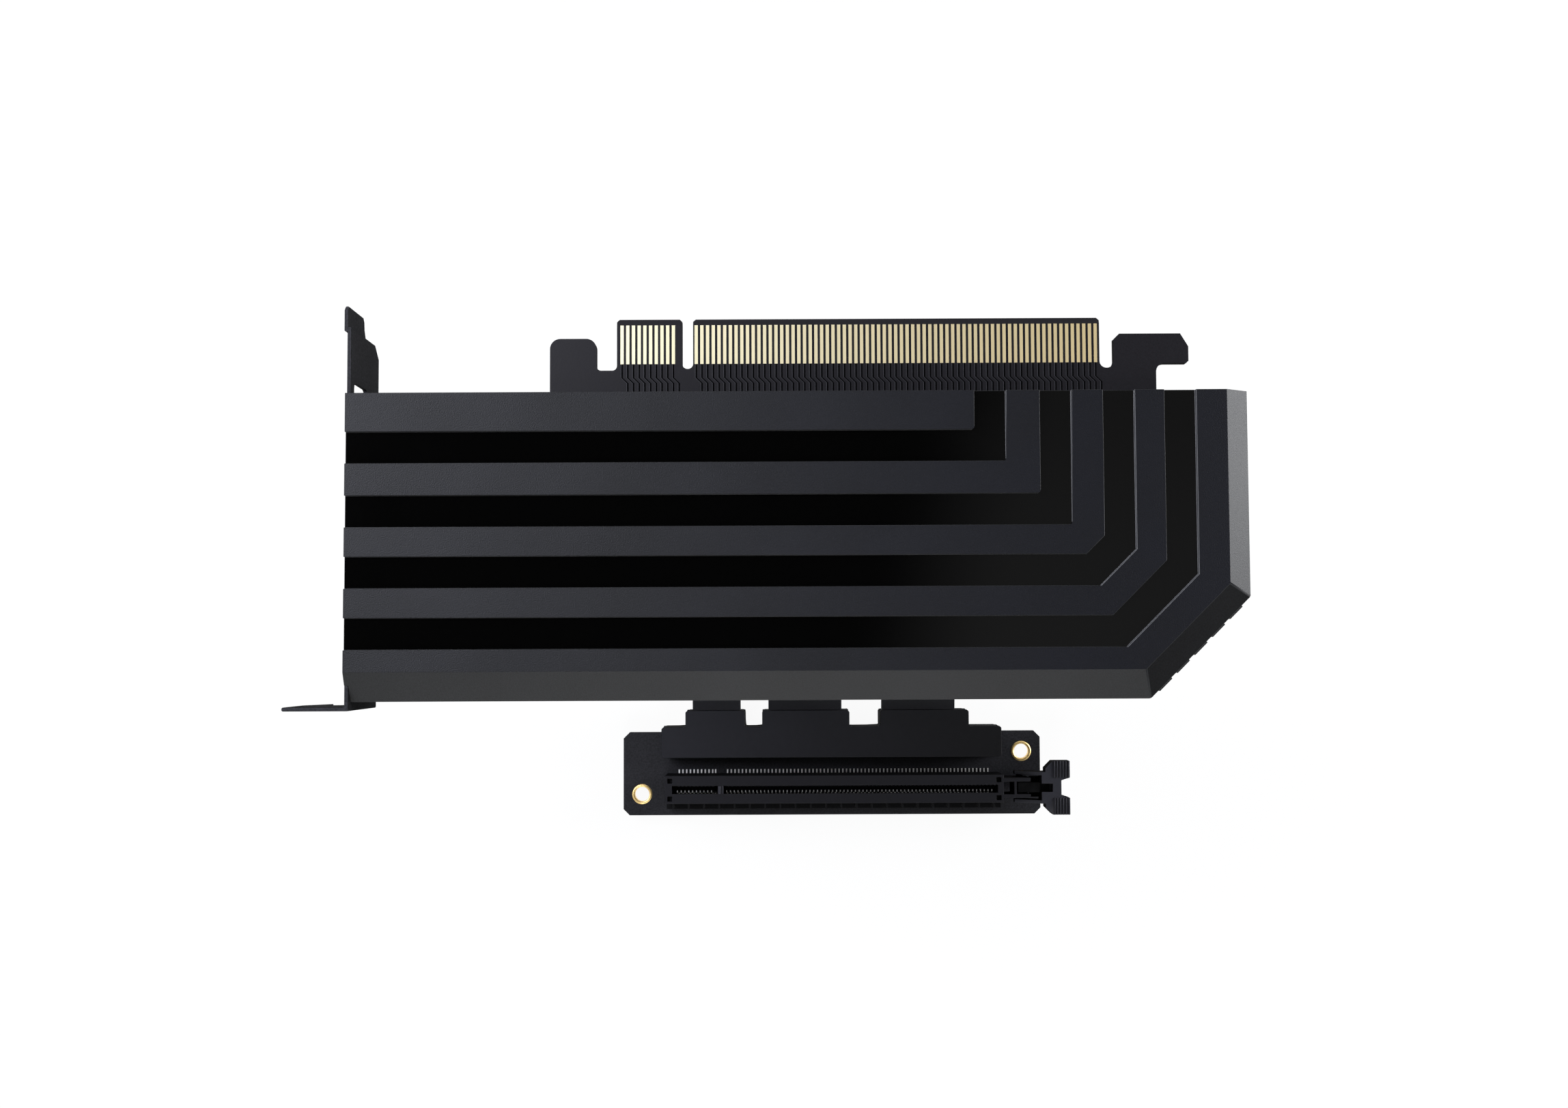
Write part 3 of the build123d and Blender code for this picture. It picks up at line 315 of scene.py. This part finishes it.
def finish_piece(name, shape, body, finishes, replaced=None, smooth=50):
    """Turns a bmesh into a piece of the scene that rides on a body."""
    mesh = bpy.data.meshes.new(name)
    shape.to_mesh(mesh)
    shape.free()
    for finish in finishes:
        mesh.materials.append(finish)
    mesh.shade_smooth()
    mesh.set_sharp_from_angle(angle=radians(smooth))
    piece = bpy.data.objects.new(name, mesh)
    bpy.context.scene.collection.objects.link(piece)
    even = piece.modifiers.new("even_normals", "WEIGHTED_NORMAL")
    even.keep_sharp = True
    if replaced:
        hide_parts(replaced)
    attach(piece, body)
    print(name, len(mesh.polygons), "faces")
    return piece

# %% [markdown]
# ## The striped cover
# Five raised stripes run from the left edge and turn the corner, with polished grooves between them. The
# solid has the stripes at their real depth. The outer stripe corners get a radius of half a millimetre,
# all long edges a fine bevel, and the groove floors, which lie lower than the stripes, the gloss finish.

# %% Striped cover
STRIPE_TOP = 3.6 * MM
GROOVE_FLOOR = 2.9 * MM


def is_stripe_corner(edge):
    ends = sorted(vert.co.z for vert in edge.verts)
    return abs(ends[0] - GROOVE_FLOOR) < 0.00005 and abs(ends[1] - STRIPE_TOP) < 0.00005


cover = flat_copy("upper_cover")
stripe_corners = [edge for edge in cover.edges if is_stripe_corner(edge)
                  and len(edge.link_faces) == 2 and edge.calc_face_angle(0.0) > radians(60)
                  and edge.verts[0].co.y < -0.014 and edge.verts[0].co.x > -0.058]
bmesh.ops.bevel(cover, geom=stripe_corners, offset=0.5 * MM, offset_type="OFFSET", segments=3, profile=0.5,
                affect="EDGES", clamp_overlap=True, material=-1)
soft_faces = set(soften(cover, 0.08 * MM, 0.6 * MM, False))
cover.normal_update()
for face in cover.faces:
    face.material_index = 1
    middle = face.calc_center_median()
    # Left-facing soft edges of the right-hand stripes take the painted highlight (index 4).
    if face in soft_faces and middle.x > 0.045 and middle.z > GROOVE_FLOOR and 0.2 < face.normal.z < 0.95:
        if face.normal.x < -0.25 and middle.y > -0.0606:
            face.material_index = 4
        continue
    # The large diagonal slope takes the painted shade (index 3).
    if 0.2 < face.normal.z < 0.95 and face.normal.x > 0.1 and face.normal.y < -0.1 and face.calc_area() > 0.00001:
        face.material_index = 3
    if face.normal.z > 0.9 and middle.z > GROOVE_FLOOR + 0.0003:
        face.material_index = 0
    elif face.normal.z > 0.99 and abs(middle.z - GROOVE_FLOOR) < 0.00008:
        face.material_index = 2
finish_piece("striped_cover", cover, "riser", [stripe_finish, cover_finish, groove_finish, painted_shade_finish,
             edge_highlight_finish], "upper_cover")

# %% [markdown]
# ## The lower cover, cable cap and bracket
# These keep the solid's form and only need soft edges: finer on the moulded caps, and rounder on the
# bracket, where thick powder coat fills every edge. Except on the lower cover, their steep walls take a
# dull, near-black finish, and so does the slot's front foot: painted shade. One loop makes them all, so that
# a change of a bevel is one number.

# %% Covers, bracket and housing with soft edges
SOFT_PIECES = (
    ("lower_shell", "lower_cover", "riser", cover_finish, cover_finish, "cover_black", 0.25),
    ("card_plate", "riser_card", "riser", card_finish, shaded_wall_finish, "card_black", 0.02),
    ("cable_cap_shell", "cable_cap", "riser", cap_finish, shaded_wall_finish, "cap_black", 0.15),
    ("cable_cap_plate", "cable_cap_back", "riser", cap_finish, shaded_wall_finish, "cap_black", 0.2),
    ("bracket_sheet", "bracket", "riser", coat_finish, shaded_coat_wall_finish, "bracket_paint", 0.2),
    ("slot_body", "slot_housing", "riser", housing_finish, shaded_wall_finish, "housing_grey", 0.08),
    ("latch_body", "latch", "latch", latch_finish, shaded_wall_finish, "latch_grey", 0.08),
    ("slot_board_plate", "slot_board", "riser", board_finish, shaded_wall_finish, "card_black", 0.02),
)
SLOT_FRONT = -97.95 * MM
for piece_name, node, body, finish, wall_finish, slot_name, width in SOFT_PIECES:
    form = flat_copy(node)
    soften(form, width * MM, 4 * width * MM, node not in ("cable_cap", "slot_housing", "bracket"))
    # The second finish, for steep walls, is a painted shade on all pieces but the lower cover.
    part_walls(form)
    # The slot's front foot takes the third finish, also a painted shade.
    if node == "slot_housing":
        for face in form.faces:
            if face.calc_center_median().y < SLOT_FRONT - 0.00002:
                face.material_index = 2
    finish_piece(piece_name, form, body, [finish, wall_finish, shaded_foot_finish], node)

# %% [markdown]
# ## Nodes that stay as they are
# The card's gold fingers, the rings and the cable comb already have their form, so they stay the measured
# solids, and only take a finish.

# %% Finishes on the measured solids
for node, finish in (
    ("edge_pads_upper", gold_finish),
    ("edge_pads_lower", gold_finish),
    ("hole_plating", ring_finish),
    ("cable_comb", housing_finish),
):
    nodes[node].data.materials.clear()
    nodes[node].data.materials.append(finish)

# %% [markdown]
# ## Copper traces
# From each finger a trace runs back under the cover, and half way it steps aside by one pitch. Under solder
# mask it shows as a dark gap line. One trace is an edge that is extruded along the path, with no height to
# speak of, and the rest are copies of it at the contact pitch.

# %% Traces on the card
CARD_FACE = 0.785 * MM
PITCH = 1.0 * MM
PIN_X = [-(1.5 + i) for i in range(1, 11)][::-1] + [1.5 + i for i in range(71)]


def strip(shape, path, half_width, z):
    """A flat strip along a path in X and Y: one edge, extruded from point to point."""
    ends = [shape.verts.new((path[0][0] + side * half_width, path[0][1], z)) for side in (-1, 1)]
    edge = shape.edges.new(ends)
    for here, there in zip(path, path[1:]):
        grown = bmesh.ops.extrude_edge_only(shape, edges=[edge])["geom"]
        verts = [item for item in grown if isinstance(item, bmesh.types.BMVert)]
        edge = [item for item in grown if isinstance(item, bmesh.types.BMEdge) and len(item.link_faces) == 1
                and all(vert in verts for vert in item.verts)][0]
        bmesh.ops.translate(shape, verts=verts, vec=(there[0] - here[0], there[1] - here[1], 0))
    return shape


def make_traces(name, offset, half_width, finish):
    shape = bmesh.new()
    for x in PIN_X:
        start = (x + offset) * MM
        path = [(start, -7.96 * MM), (start, -10.36 * MM), (start + PITCH, -11.33 * MM), (start + PITCH, -14.6 * MM)]
        strip(shape, path, half_width * MM, CARD_FACE + 0.004 * MM)
    bmesh.ops.recalc_face_normals(shape, faces=shape.faces)
    if shape.faces[:][0].normal.z < 0:
        bmesh.ops.reverse_faces(shape, faces=shape.faces[:])
    return finish_piece(name, shape, "riser", [finish])


# Painted highlight: a thin grey line beside each dark trace line, for the lit edge of the raised copper.
trace_highlight_finish = grained("trace_painted_highlight", (0.06, 0.06, 0.068), 0.45, 3000.0, 0.000005, 0.1)
make_traces("trace_lines", 0.0, 0.14, trace_finish)
make_traces("trace_highlights", -0.18, 0.03, trace_highlight_finish)

# %% [markdown]
# ## Small things on the slot board
# The slot's mouth has teeth between its contacts, and the bent tips of the front row catch the light. A
# rib in the mouth keys the card. All of these are small boxes: the teeth and tips at the contact pitch, the
# rib with soft edges. The two mounting holes have a raised, rounded gold rim: one profile that is spun round
# each hole.

# %% Boxes for the slot
SLOT_Y = -94.3
SLOT_FACE = -136.4


def bar(shape, low, high, radius=0.0):
    """A box between two corners in millimetres, with rounded edges where a radius is given."""
    size = [(b - a) * MM for a, b in zip(low, high)]
    middle = [(a + b) / 2 * MM for a, b in zip(low, high)]
    matrix = Matrix.Translation(middle) @ Matrix.Diagonal((*size, 1.0))
    verts = bmesh.ops.create_cube(shape, size=1.0, matrix=matrix)["verts"]
    if radius:
        edges = list({edge for vert in verts for edge in vert.link_edges})
        bmesh.ops.bevel(shape, geom=edges, offset=radius * MM, offset_type="OFFSET", segments=3, profile=0.5,
                        affect="EDGES", clamp_overlap=True, material=-1)


BOARD_TOP = -146.6
for node in ("slot_contacts_back", "slot_contacts_front"):
    contacts = flat_copy(node)
    for vert in contacts.verts:
        pin = min(PIN_X, key=lambda x: abs(x * MM - vert.co.x)) * MM
        vert.co.x = pin + (vert.co.x - pin) * 0.78
    # Tails at the board take the bright tin, the blades above them a darkened copy of it: painted shade.
    for face in contacts.faces:
        face.material_index = 0 if face.calc_center_median().z < (BOARD_TOP + 0.4) * MM else 1
    finish_piece(node + "_fine", contacts, "riser", [tin_finish, shaded_blade_finish], node)

teeth = bmesh.new()
tips = bmesh.new()
for x in PIN_X:
    bar(teeth, (x + 0.3, SLOT_Y + 0.87, SLOT_FACE - 0.7), (x + 0.7, SLOT_Y + 1.06, SLOT_FACE - 0.04))
    bar(tips, (x - 0.12, SLOT_Y - 0.85, SLOT_FACE - 3.0), (x + 0.12, SLOT_Y - 0.35, SLOT_FACE - 2.3))
finish_piece("mouth_teeth", teeth, "riser", [housing_finish])
finish_piece("contact_tips", tips, "riser", [tin_finish])
# The rib is housing plastic but takes the latch's lighter finish, a painted highlight for its two light bars; its
# bevels also catch real light.
key_rib = bmesh.new()
bar(key_rib, (-0.72, SLOT_Y - 1.12, SLOT_FACE - 0.5), (0.0, SLOT_Y + 1.0, SLOT_FACE + 0.14), 0.2)
bar(key_rib, (0.44, SLOT_Y - 1.0, SLOT_FACE - 0.5), (0.72, SLOT_Y + 1.0, SLOT_FACE + 0.1), 0.08)
finish_piece("key_rib", key_rib, "riser", [latch_finish])

# %% Rims of the mounting holes
rims = bmesh.new()
for x, y in ((-21.5, -96.25), (80.55, -85.1)):
    profile = ((1.955, -0.3), (1.96, 0.04), (2.06, 0.15), (2.32, 0.2), (2.58, 0.15), (2.68, 0.0))
    verts = [rims.verts.new(((x + radius) * MM, y * MM, (BOARD_TOP + height) * MM)) for radius, height in profile]
    edges = [rims.edges.new(pair) for pair in zip(verts, verts[1:])]
    bmesh.ops.spin(rims, geom=verts + edges, cent=(x * MM, y * MM, 0.0), axis=(0, 0, 1), angle=2 * pi, steps=48,
                   use_merge=True, use_duplicate=False)
bmesh.ops.remove_doubles(rims, verts=rims.verts, dist=0.000001)
bmesh.ops.recalc_face_normals(rims, faces=rims.faces)
if sum(face.normal.z for face in rims.faces) < 0:
    bmesh.ops.reverse_faces(rims, faces=rims.faces[:])
finish_piece("hole_rims", rims, "riser", [ring_finish], smooth=60)

# %% [markdown]
# ## The latch's tongue
# Between the latch's arms lies a tongue that keeps the card's hook, and behind it a low web ties the
# arms together. They take a dull, dark finish, painted shade for the shade they lie in. Both turn with the
# latch, so they ride on its body.

# %% Tongue and web of the latch
LATCH_Y = -94.15
tongue = bmesh.new()
bar(tongue, (78.3, LATCH_Y - 1.35, -141.0), (84.2, LATCH_Y + 1.35, -138.4), 0.15)
bar(tongue, (84.0, LATCH_Y - 1.2, -141.0), (86.6, LATCH_Y + 1.2, -138.7), 0.1)
bar(tongue, (81.7, LATCH_Y - 2.75, -141.7), (84.6, LATCH_Y + 2.75, -141.1), 0.1)
# The tongue and web take the slot foot's dull, dark finish: painted shade.
finish_piece("latch_tongue", tongue, "latch", [shaded_foot_finish])

# %% [markdown]
# ## Flat cables
# Each cable is a stack of thin flat layers that leaves the comb, bends once in the open and enters a
# collar of the cap. Its line is one smooth spline through the route that was measured. A layer is a
# rounded strip that is extruded along that line, and turned with it, so it keeps its thickness in the bend.

# %% Cable line
CABLES = {"ribbon_left": (-1.3, 12.85), "ribbon_middle": (22.35, 19.6), "ribbon_right": (52.65, 19.6)}
ROUTE = ((-50.0, -0.9), (-52.0, -50.0), (-47.5, -100.0), (-55.7, -124.6), (-62.5, -146.2), (-84.0, -145.0))
LAYERS = 4
LAYER_T = 0.54
LAYER_PITCH = 0.6


def spline_points(x):
    """Points along the smooth line of a cable whose middle is at x, in metres."""
    curve = bpy.data.curves.new("cable_line", "CURVE")
    curve.dimensions = "3D"
    curve.resolution_u = 16
    line = curve.splines.new("NURBS")
    line.points.add(len(ROUTE) - 1)
    for point, (y, z) in zip(line.points, ROUTE):
        point.co = (x * MM, y * MM, z * MM, 1.0)
    line.order_u = 3
    line.use_endpoint_u = True
    holder = bpy.data.objects.new("cable_line", curve)
    mesh = bpy.data.meshes.new_from_object(holder)
    points = [vert.co.copy() for vert in mesh.vertices]
    bpy.data.objects.remove(holder)
    bpy.data.meshes.remove(mesh)
    bpy.data.curves.remove(curve)
    return points


def section_at(point, tangent):
    """The turned place of a cable's section: its width along X, its thickness across the line."""
    across = Vector((1.0, 0.0, 0.0))
    through = tangent.cross(across).normalized()
    return Matrix((
        (across.x, through.x, tangent.x, point.x),
        (across.y, through.y, tangent.y, point.y),
        (across.z, through.z, tangent.z, point.z),
        (0.0, 0.0, 0.0, 1.0),
    ))


def layer(shape, places, width, shift):
    """One rounded strip, extruded through the places."""
    half = width / 2 * MM
    start = bmesh.ops.create_circle(shape, cap_ends=False, radius=LAYER_T / 2 * MM, segments=8)["verts"]
    for vert in start:
        side = 1.0 if vert.co.x > 0.00001 else -1.0
        vert.co.x += side * (half - LAYER_T / 2 * MM)
        vert.co.y += shift * MM
    ring = list({edge for vert in start for edge in vert.link_edges})
    bmesh.ops.edgeloop_fill(shape, edges=ring)
    verts = start
    before = Matrix.Identity(4)
    for number, place in enumerate(places):
        if number:
            grown = bmesh.ops.extrude_edge_only(shape, edges=ring)["geom"]
            verts = [item for item in grown if isinstance(item, bmesh.types.BMVert)]
            inside = set(verts)
            ring = [item for item in grown if isinstance(item, bmesh.types.BMEdge)
                    and all(vert in inside for vert in item.verts)]
        bmesh.ops.transform(shape, matrix=place @ before.inverted(), verts=verts)
        before = place
    bmesh.ops.edgeloop_fill(shape, edges=ring)


for node, (x, width) in CABLES.items():
    points = spline_points(x)
    tangents = [(after - here).normalized() for here, after in zip(points, points[1:])]
    places = [section_at(point, tangent) for point, tangent in zip(points, tangents + tangents[-1:])]
    cable = bmesh.new()
    for number in range(LAYERS):
        shift = (number - (LAYERS - 1) / 2) * LAYER_PITCH
        layer(cable, places, width, shift)
    bmesh.ops.recalc_face_normals(cable, faces=cable.faces)
    piece = finish_piece(node + "_layers", cable, "riser", [cable_finish], node, smooth=50)

# %% [markdown]
# ## Screws
# Five small pan head screws with a hex drive sit in the recesses of the lower cover and of the cap's back
# plate. Each is one profile, spun round its axis, with a hexagon pushed into its head.

# %% Screws
SCREWS = ((-48.0, -61.2, -11.1), (58.0, -61.2, -11.1), (92.2, -22.0, -11.1), (8.65, -83.6, -149.07),
          (38.15, -83.6, -149.07))


def make_screw(shape):
    """A pan head, upright on the origin, with a hexagonal recess in its top."""
    profile = ((1.1, 1.15), (1.35, 1.15), (1.75, 0.85), (1.85, 0.4), (1.85, 0.0), (0.95, 0.0), (0.95, -2.0), (0.0, -2.3))
    verts = [shape.verts.new((radius * MM, 0.0, height * MM)) for radius, height in profile]
    edges = [shape.edges.new(pair) for pair in zip(verts, verts[1:])]
    bmesh.ops.spin(shape, geom=verts + edges, cent=(0, 0, 0), axis=(0, 0, 1), angle=2 * pi, steps=24,
                   use_merge=True, use_duplicate=False)
    bmesh.ops.remove_doubles(shape, verts=shape.verts, dist=0.000001)
    hexagon = bmesh.ops.create_circle(shape, cap_ends=False, radius=0.8 * MM, segments=6,
                                      matrix=Matrix.Translation((0, 0, 1.15 * MM)))["verts"]
    inner = list({edge for vert in hexagon for edge in vert.link_edges})
    outer = [edge for edge in shape.edges if len(edge.link_faces) == 1]
    bmesh.ops.bridge_loops(shape, edges=outer + inner)
    grown = bmesh.ops.extrude_edge_only(shape, edges=inner)["geom"]
    low = [item for item in grown if isinstance(item, bmesh.types.BMVert)]
    bmesh.ops.translate(shape, verts=low, vec=(0, 0, -0.7 * MM))
    bmesh.ops.contextual_create(shape, geom=low)


screws = bmesh.new()
for x, y, seat_z in SCREWS:
    one = bmesh.new()
    make_screw(one)
    bmesh.ops.rotate(one, verts=one.verts, cent=(0, 0, 0), matrix=Matrix.Rotation(pi, 3, "X"))
    bmesh.ops.translate(one, verts=one.verts, vec=(x * MM, y * MM, seat_z * MM))
    mesh = bpy.data.meshes.new("one_screw")
    one.to_mesh(mesh)
    one.free()
    screws.from_mesh(mesh)
    bpy.data.meshes.remove(mesh)
bmesh.ops.recalc_face_normals(screws, faces=screws.faces)
finish_piece("pan_screws", screws, "riser", [screw_finish], smooth=40)

# %% [markdown]
# ## Floor and light
# The object stands over a plain pale floor. A black object is drawn by what it mirrors, so the studio is
# built for that: white all round, a dark panel overhead that keeps the grooves black, one strong soft
# lamp low on the right that makes the sloped side shine, and a wide one high on the left.

# %% Floor
floor_shape = bmesh.new()
bmesh.ops.create_grid(floor_shape, x_segments=1, y_segments=1, size=4.0)
floor_mesh = bpy.data.meshes.new("floor")
floor_shape.to_mesh(floor_mesh)
floor_shape.free()
floor = bpy.data.objects.new("floor", floor_mesh)
floor.location.z = -0.1515
bpy.context.scene.collection.objects.link(floor)
floor_finish, floor_tree, floor_shader = new_finish("floor_pale", (0.92, 0.92, 0.92), 0.9)
glow = add_node(floor_tree, "ShaderNodeEmission", Strength=1.0)
seen = floor_tree.nodes.new("ShaderNodeLightPath")
either = add_node(floor_tree, "ShaderNodeMath", operation="MAXIMUM")
share = add_node(floor_tree, "ShaderNodeMath", operation="MULTIPLY")
share.inputs[1].default_value = 0.93
blend = floor_tree.nodes.new("ShaderNodeMixShader")
output = floor_tree.nodes["Material Output"]
floor_tree.links.new(seen.outputs["Is Camera Ray"], either.inputs[0])
floor_tree.links.new(seen.outputs["Is Glossy Ray"], either.inputs[1])
floor_tree.links.new(either.outputs[0], share.inputs[0])
floor_tree.links.new(share.outputs[0], blend.inputs["Fac"])
floor_tree.links.new(floor_shader.outputs[0], blend.inputs[1])
floor_tree.links.new(glow.outputs[0], blend.inputs[2])
floor_tree.links.new(blend.outputs[0], output.inputs["Surface"])
floor_mesh.materials.append(floor_finish)

# %% World
world = bpy.data.worlds.new("studio")
bpy.context.scene.world = world
world.use_nodes = True
tree = world.node_tree
lit = tree.nodes["Background"]
lit.inputs["Color"].default_value = (0.9, 0.95, 1.0, 1.0)
lit.inputs["Strength"].default_value = 1.0
white = add_node(tree, "ShaderNodeBackground", Strength=1.0)
white.inputs["Color"].default_value = (1.0, 1.0, 1.0, 1.0)
path_kind = tree.nodes.new("ShaderNodeLightPath")
direct = add_node(tree, "ShaderNodeMath", operation="MAXIMUM")
seen_any = add_node(tree, "ShaderNodeMath", operation="MAXIMUM")
choose = tree.nodes.new("ShaderNodeMixShader")
tree.links.new(path_kind.outputs["Is Camera Ray"], direct.inputs[0])
tree.links.new(path_kind.outputs["Is Glossy Ray"], direct.inputs[1])
tree.links.new(direct.outputs[0], seen_any.inputs[0])
tree.links.new(path_kind.outputs["Is Transmission Ray"], seen_any.inputs[1])
tree.links.new(seen_any.outputs[0], choose.inputs["Fac"])
tree.links.new(lit.outputs[0], choose.inputs[1])
tree.links.new(white.outputs[0], choose.inputs[2])
tree.links.new(choose.outputs[0], tree.nodes["World Output"].inputs["Surface"])

# %% Lamps
def soft_lamp(name, place, target, size, power, color=(1.0, 1.0, 1.0)):
    lamp_data = bpy.data.lights.new(name, "AREA")
    lamp_data.shape = "RECTANGLE"
    lamp_data.size, lamp_data.size_y = size
    lamp_data.energy = power
    lamp_data.color = color
    lamp = bpy.data.objects.new(name, lamp_data)
    lamp.location = place
    aim = Vector(target) - Vector(place)
    lamp.rotation_euler = aim.to_track_quat("-Z", "Y").to_euler()
    lamp.visible_camera = False
    bpy.context.scene.collection.objects.link(lamp)
    return lamp


CENTRE = (0.0167, -0.04, -0.02)
soft_lamp("lamp_left", (-0.29, 0.12, 0.36), CENTRE, (0.25, 0.25), 2.3, (0.88, 0.9, 1.0))
soft_lamp("lamp_right", (0.97, 0.17, 0.19), CENTRE, (0.4, 0.4), 12.0, (0.96, 0.97, 1.0))
soft_lamp("lamp_low", (0.02, -0.83, 0.6), CENTRE, (0.4, 0.4), 3.0, (1.0, 0.99, 0.97))

# %% Dark panel overhead
panel_shape = bmesh.new()
bmesh.ops.create_grid(panel_shape, x_segments=1, y_segments=1, size=1.7)
bmesh.ops.reverse_faces(panel_shape, faces=panel_shape.faces[:])
panel_mesh = bpy.data.meshes.new("dark_panel")
panel_shape.to_mesh(panel_mesh)
panel_shape.free()
panel = bpy.data.objects.new("dark_panel", panel_mesh)
panel.location = (0.0, -0.05, 1.3)
bpy.context.scene.collection.objects.link(panel)
panel_finish, panel_tree, panel_shader = new_finish("panel_black", (0.002, 0.002, 0.002), 1.0, specular=0.0)
place = panel_tree.nodes.new("ShaderNodeTexCoord")
slant = add_node(panel_tree, "ShaderNodeVectorMath", operation="DOT_PRODUCT")
slant.inputs[1].default_value = (1.0, -0.314, 0.0)
glow_ramp = add_node(panel_tree, "ShaderNodeMapRange", interpolation_type="SMOOTHSTEP")
glow_ramp.inputs["From Min"].default_value = 0.08
glow_ramp.inputs["From Max"].default_value = 0.245
glow_ramp.inputs["To Min"].default_value = 0.015
glow_ramp.inputs["To Max"].default_value = 0.235
far_side = add_node(panel_tree, "ShaderNodeMapRange")
far_side.inputs["From Min"].default_value = 0.0
far_side.inputs["From Max"].default_value = 0.25
far_side.inputs["To Min"].default_value = 1.0
far_side.inputs["To Max"].default_value = 0.7
apart = panel_tree.nodes.new("ShaderNodeSeparateXYZ")
faded = add_node(panel_tree, "ShaderNodeMath", operation="MULTIPLY")
panel_tree.links.new(place.outputs["Object"], slant.inputs[0])
panel_tree.links.new(place.outputs["Object"], apart.inputs[0])
panel_tree.links.new(slant.outputs["Value"], glow_ramp.inputs["Value"])
panel_tree.links.new(apart.outputs["Y"], far_side.inputs["Value"])
panel_tree.links.new(glow_ramp.outputs["Result"], faded.inputs[0])
panel_tree.links.new(far_side.outputs["Result"], faded.inputs[1])
panel_tree.links.new(faded.outputs[0], panel_shader.inputs["Emission Strength"])
panel_shader.inputs["Emission Color"].default_value = (1.0, 1.0, 1.0, 1.0)
panel_mesh.materials.append(panel_finish)
bpy.context.scene.view_settings.view_transform = "Standard"
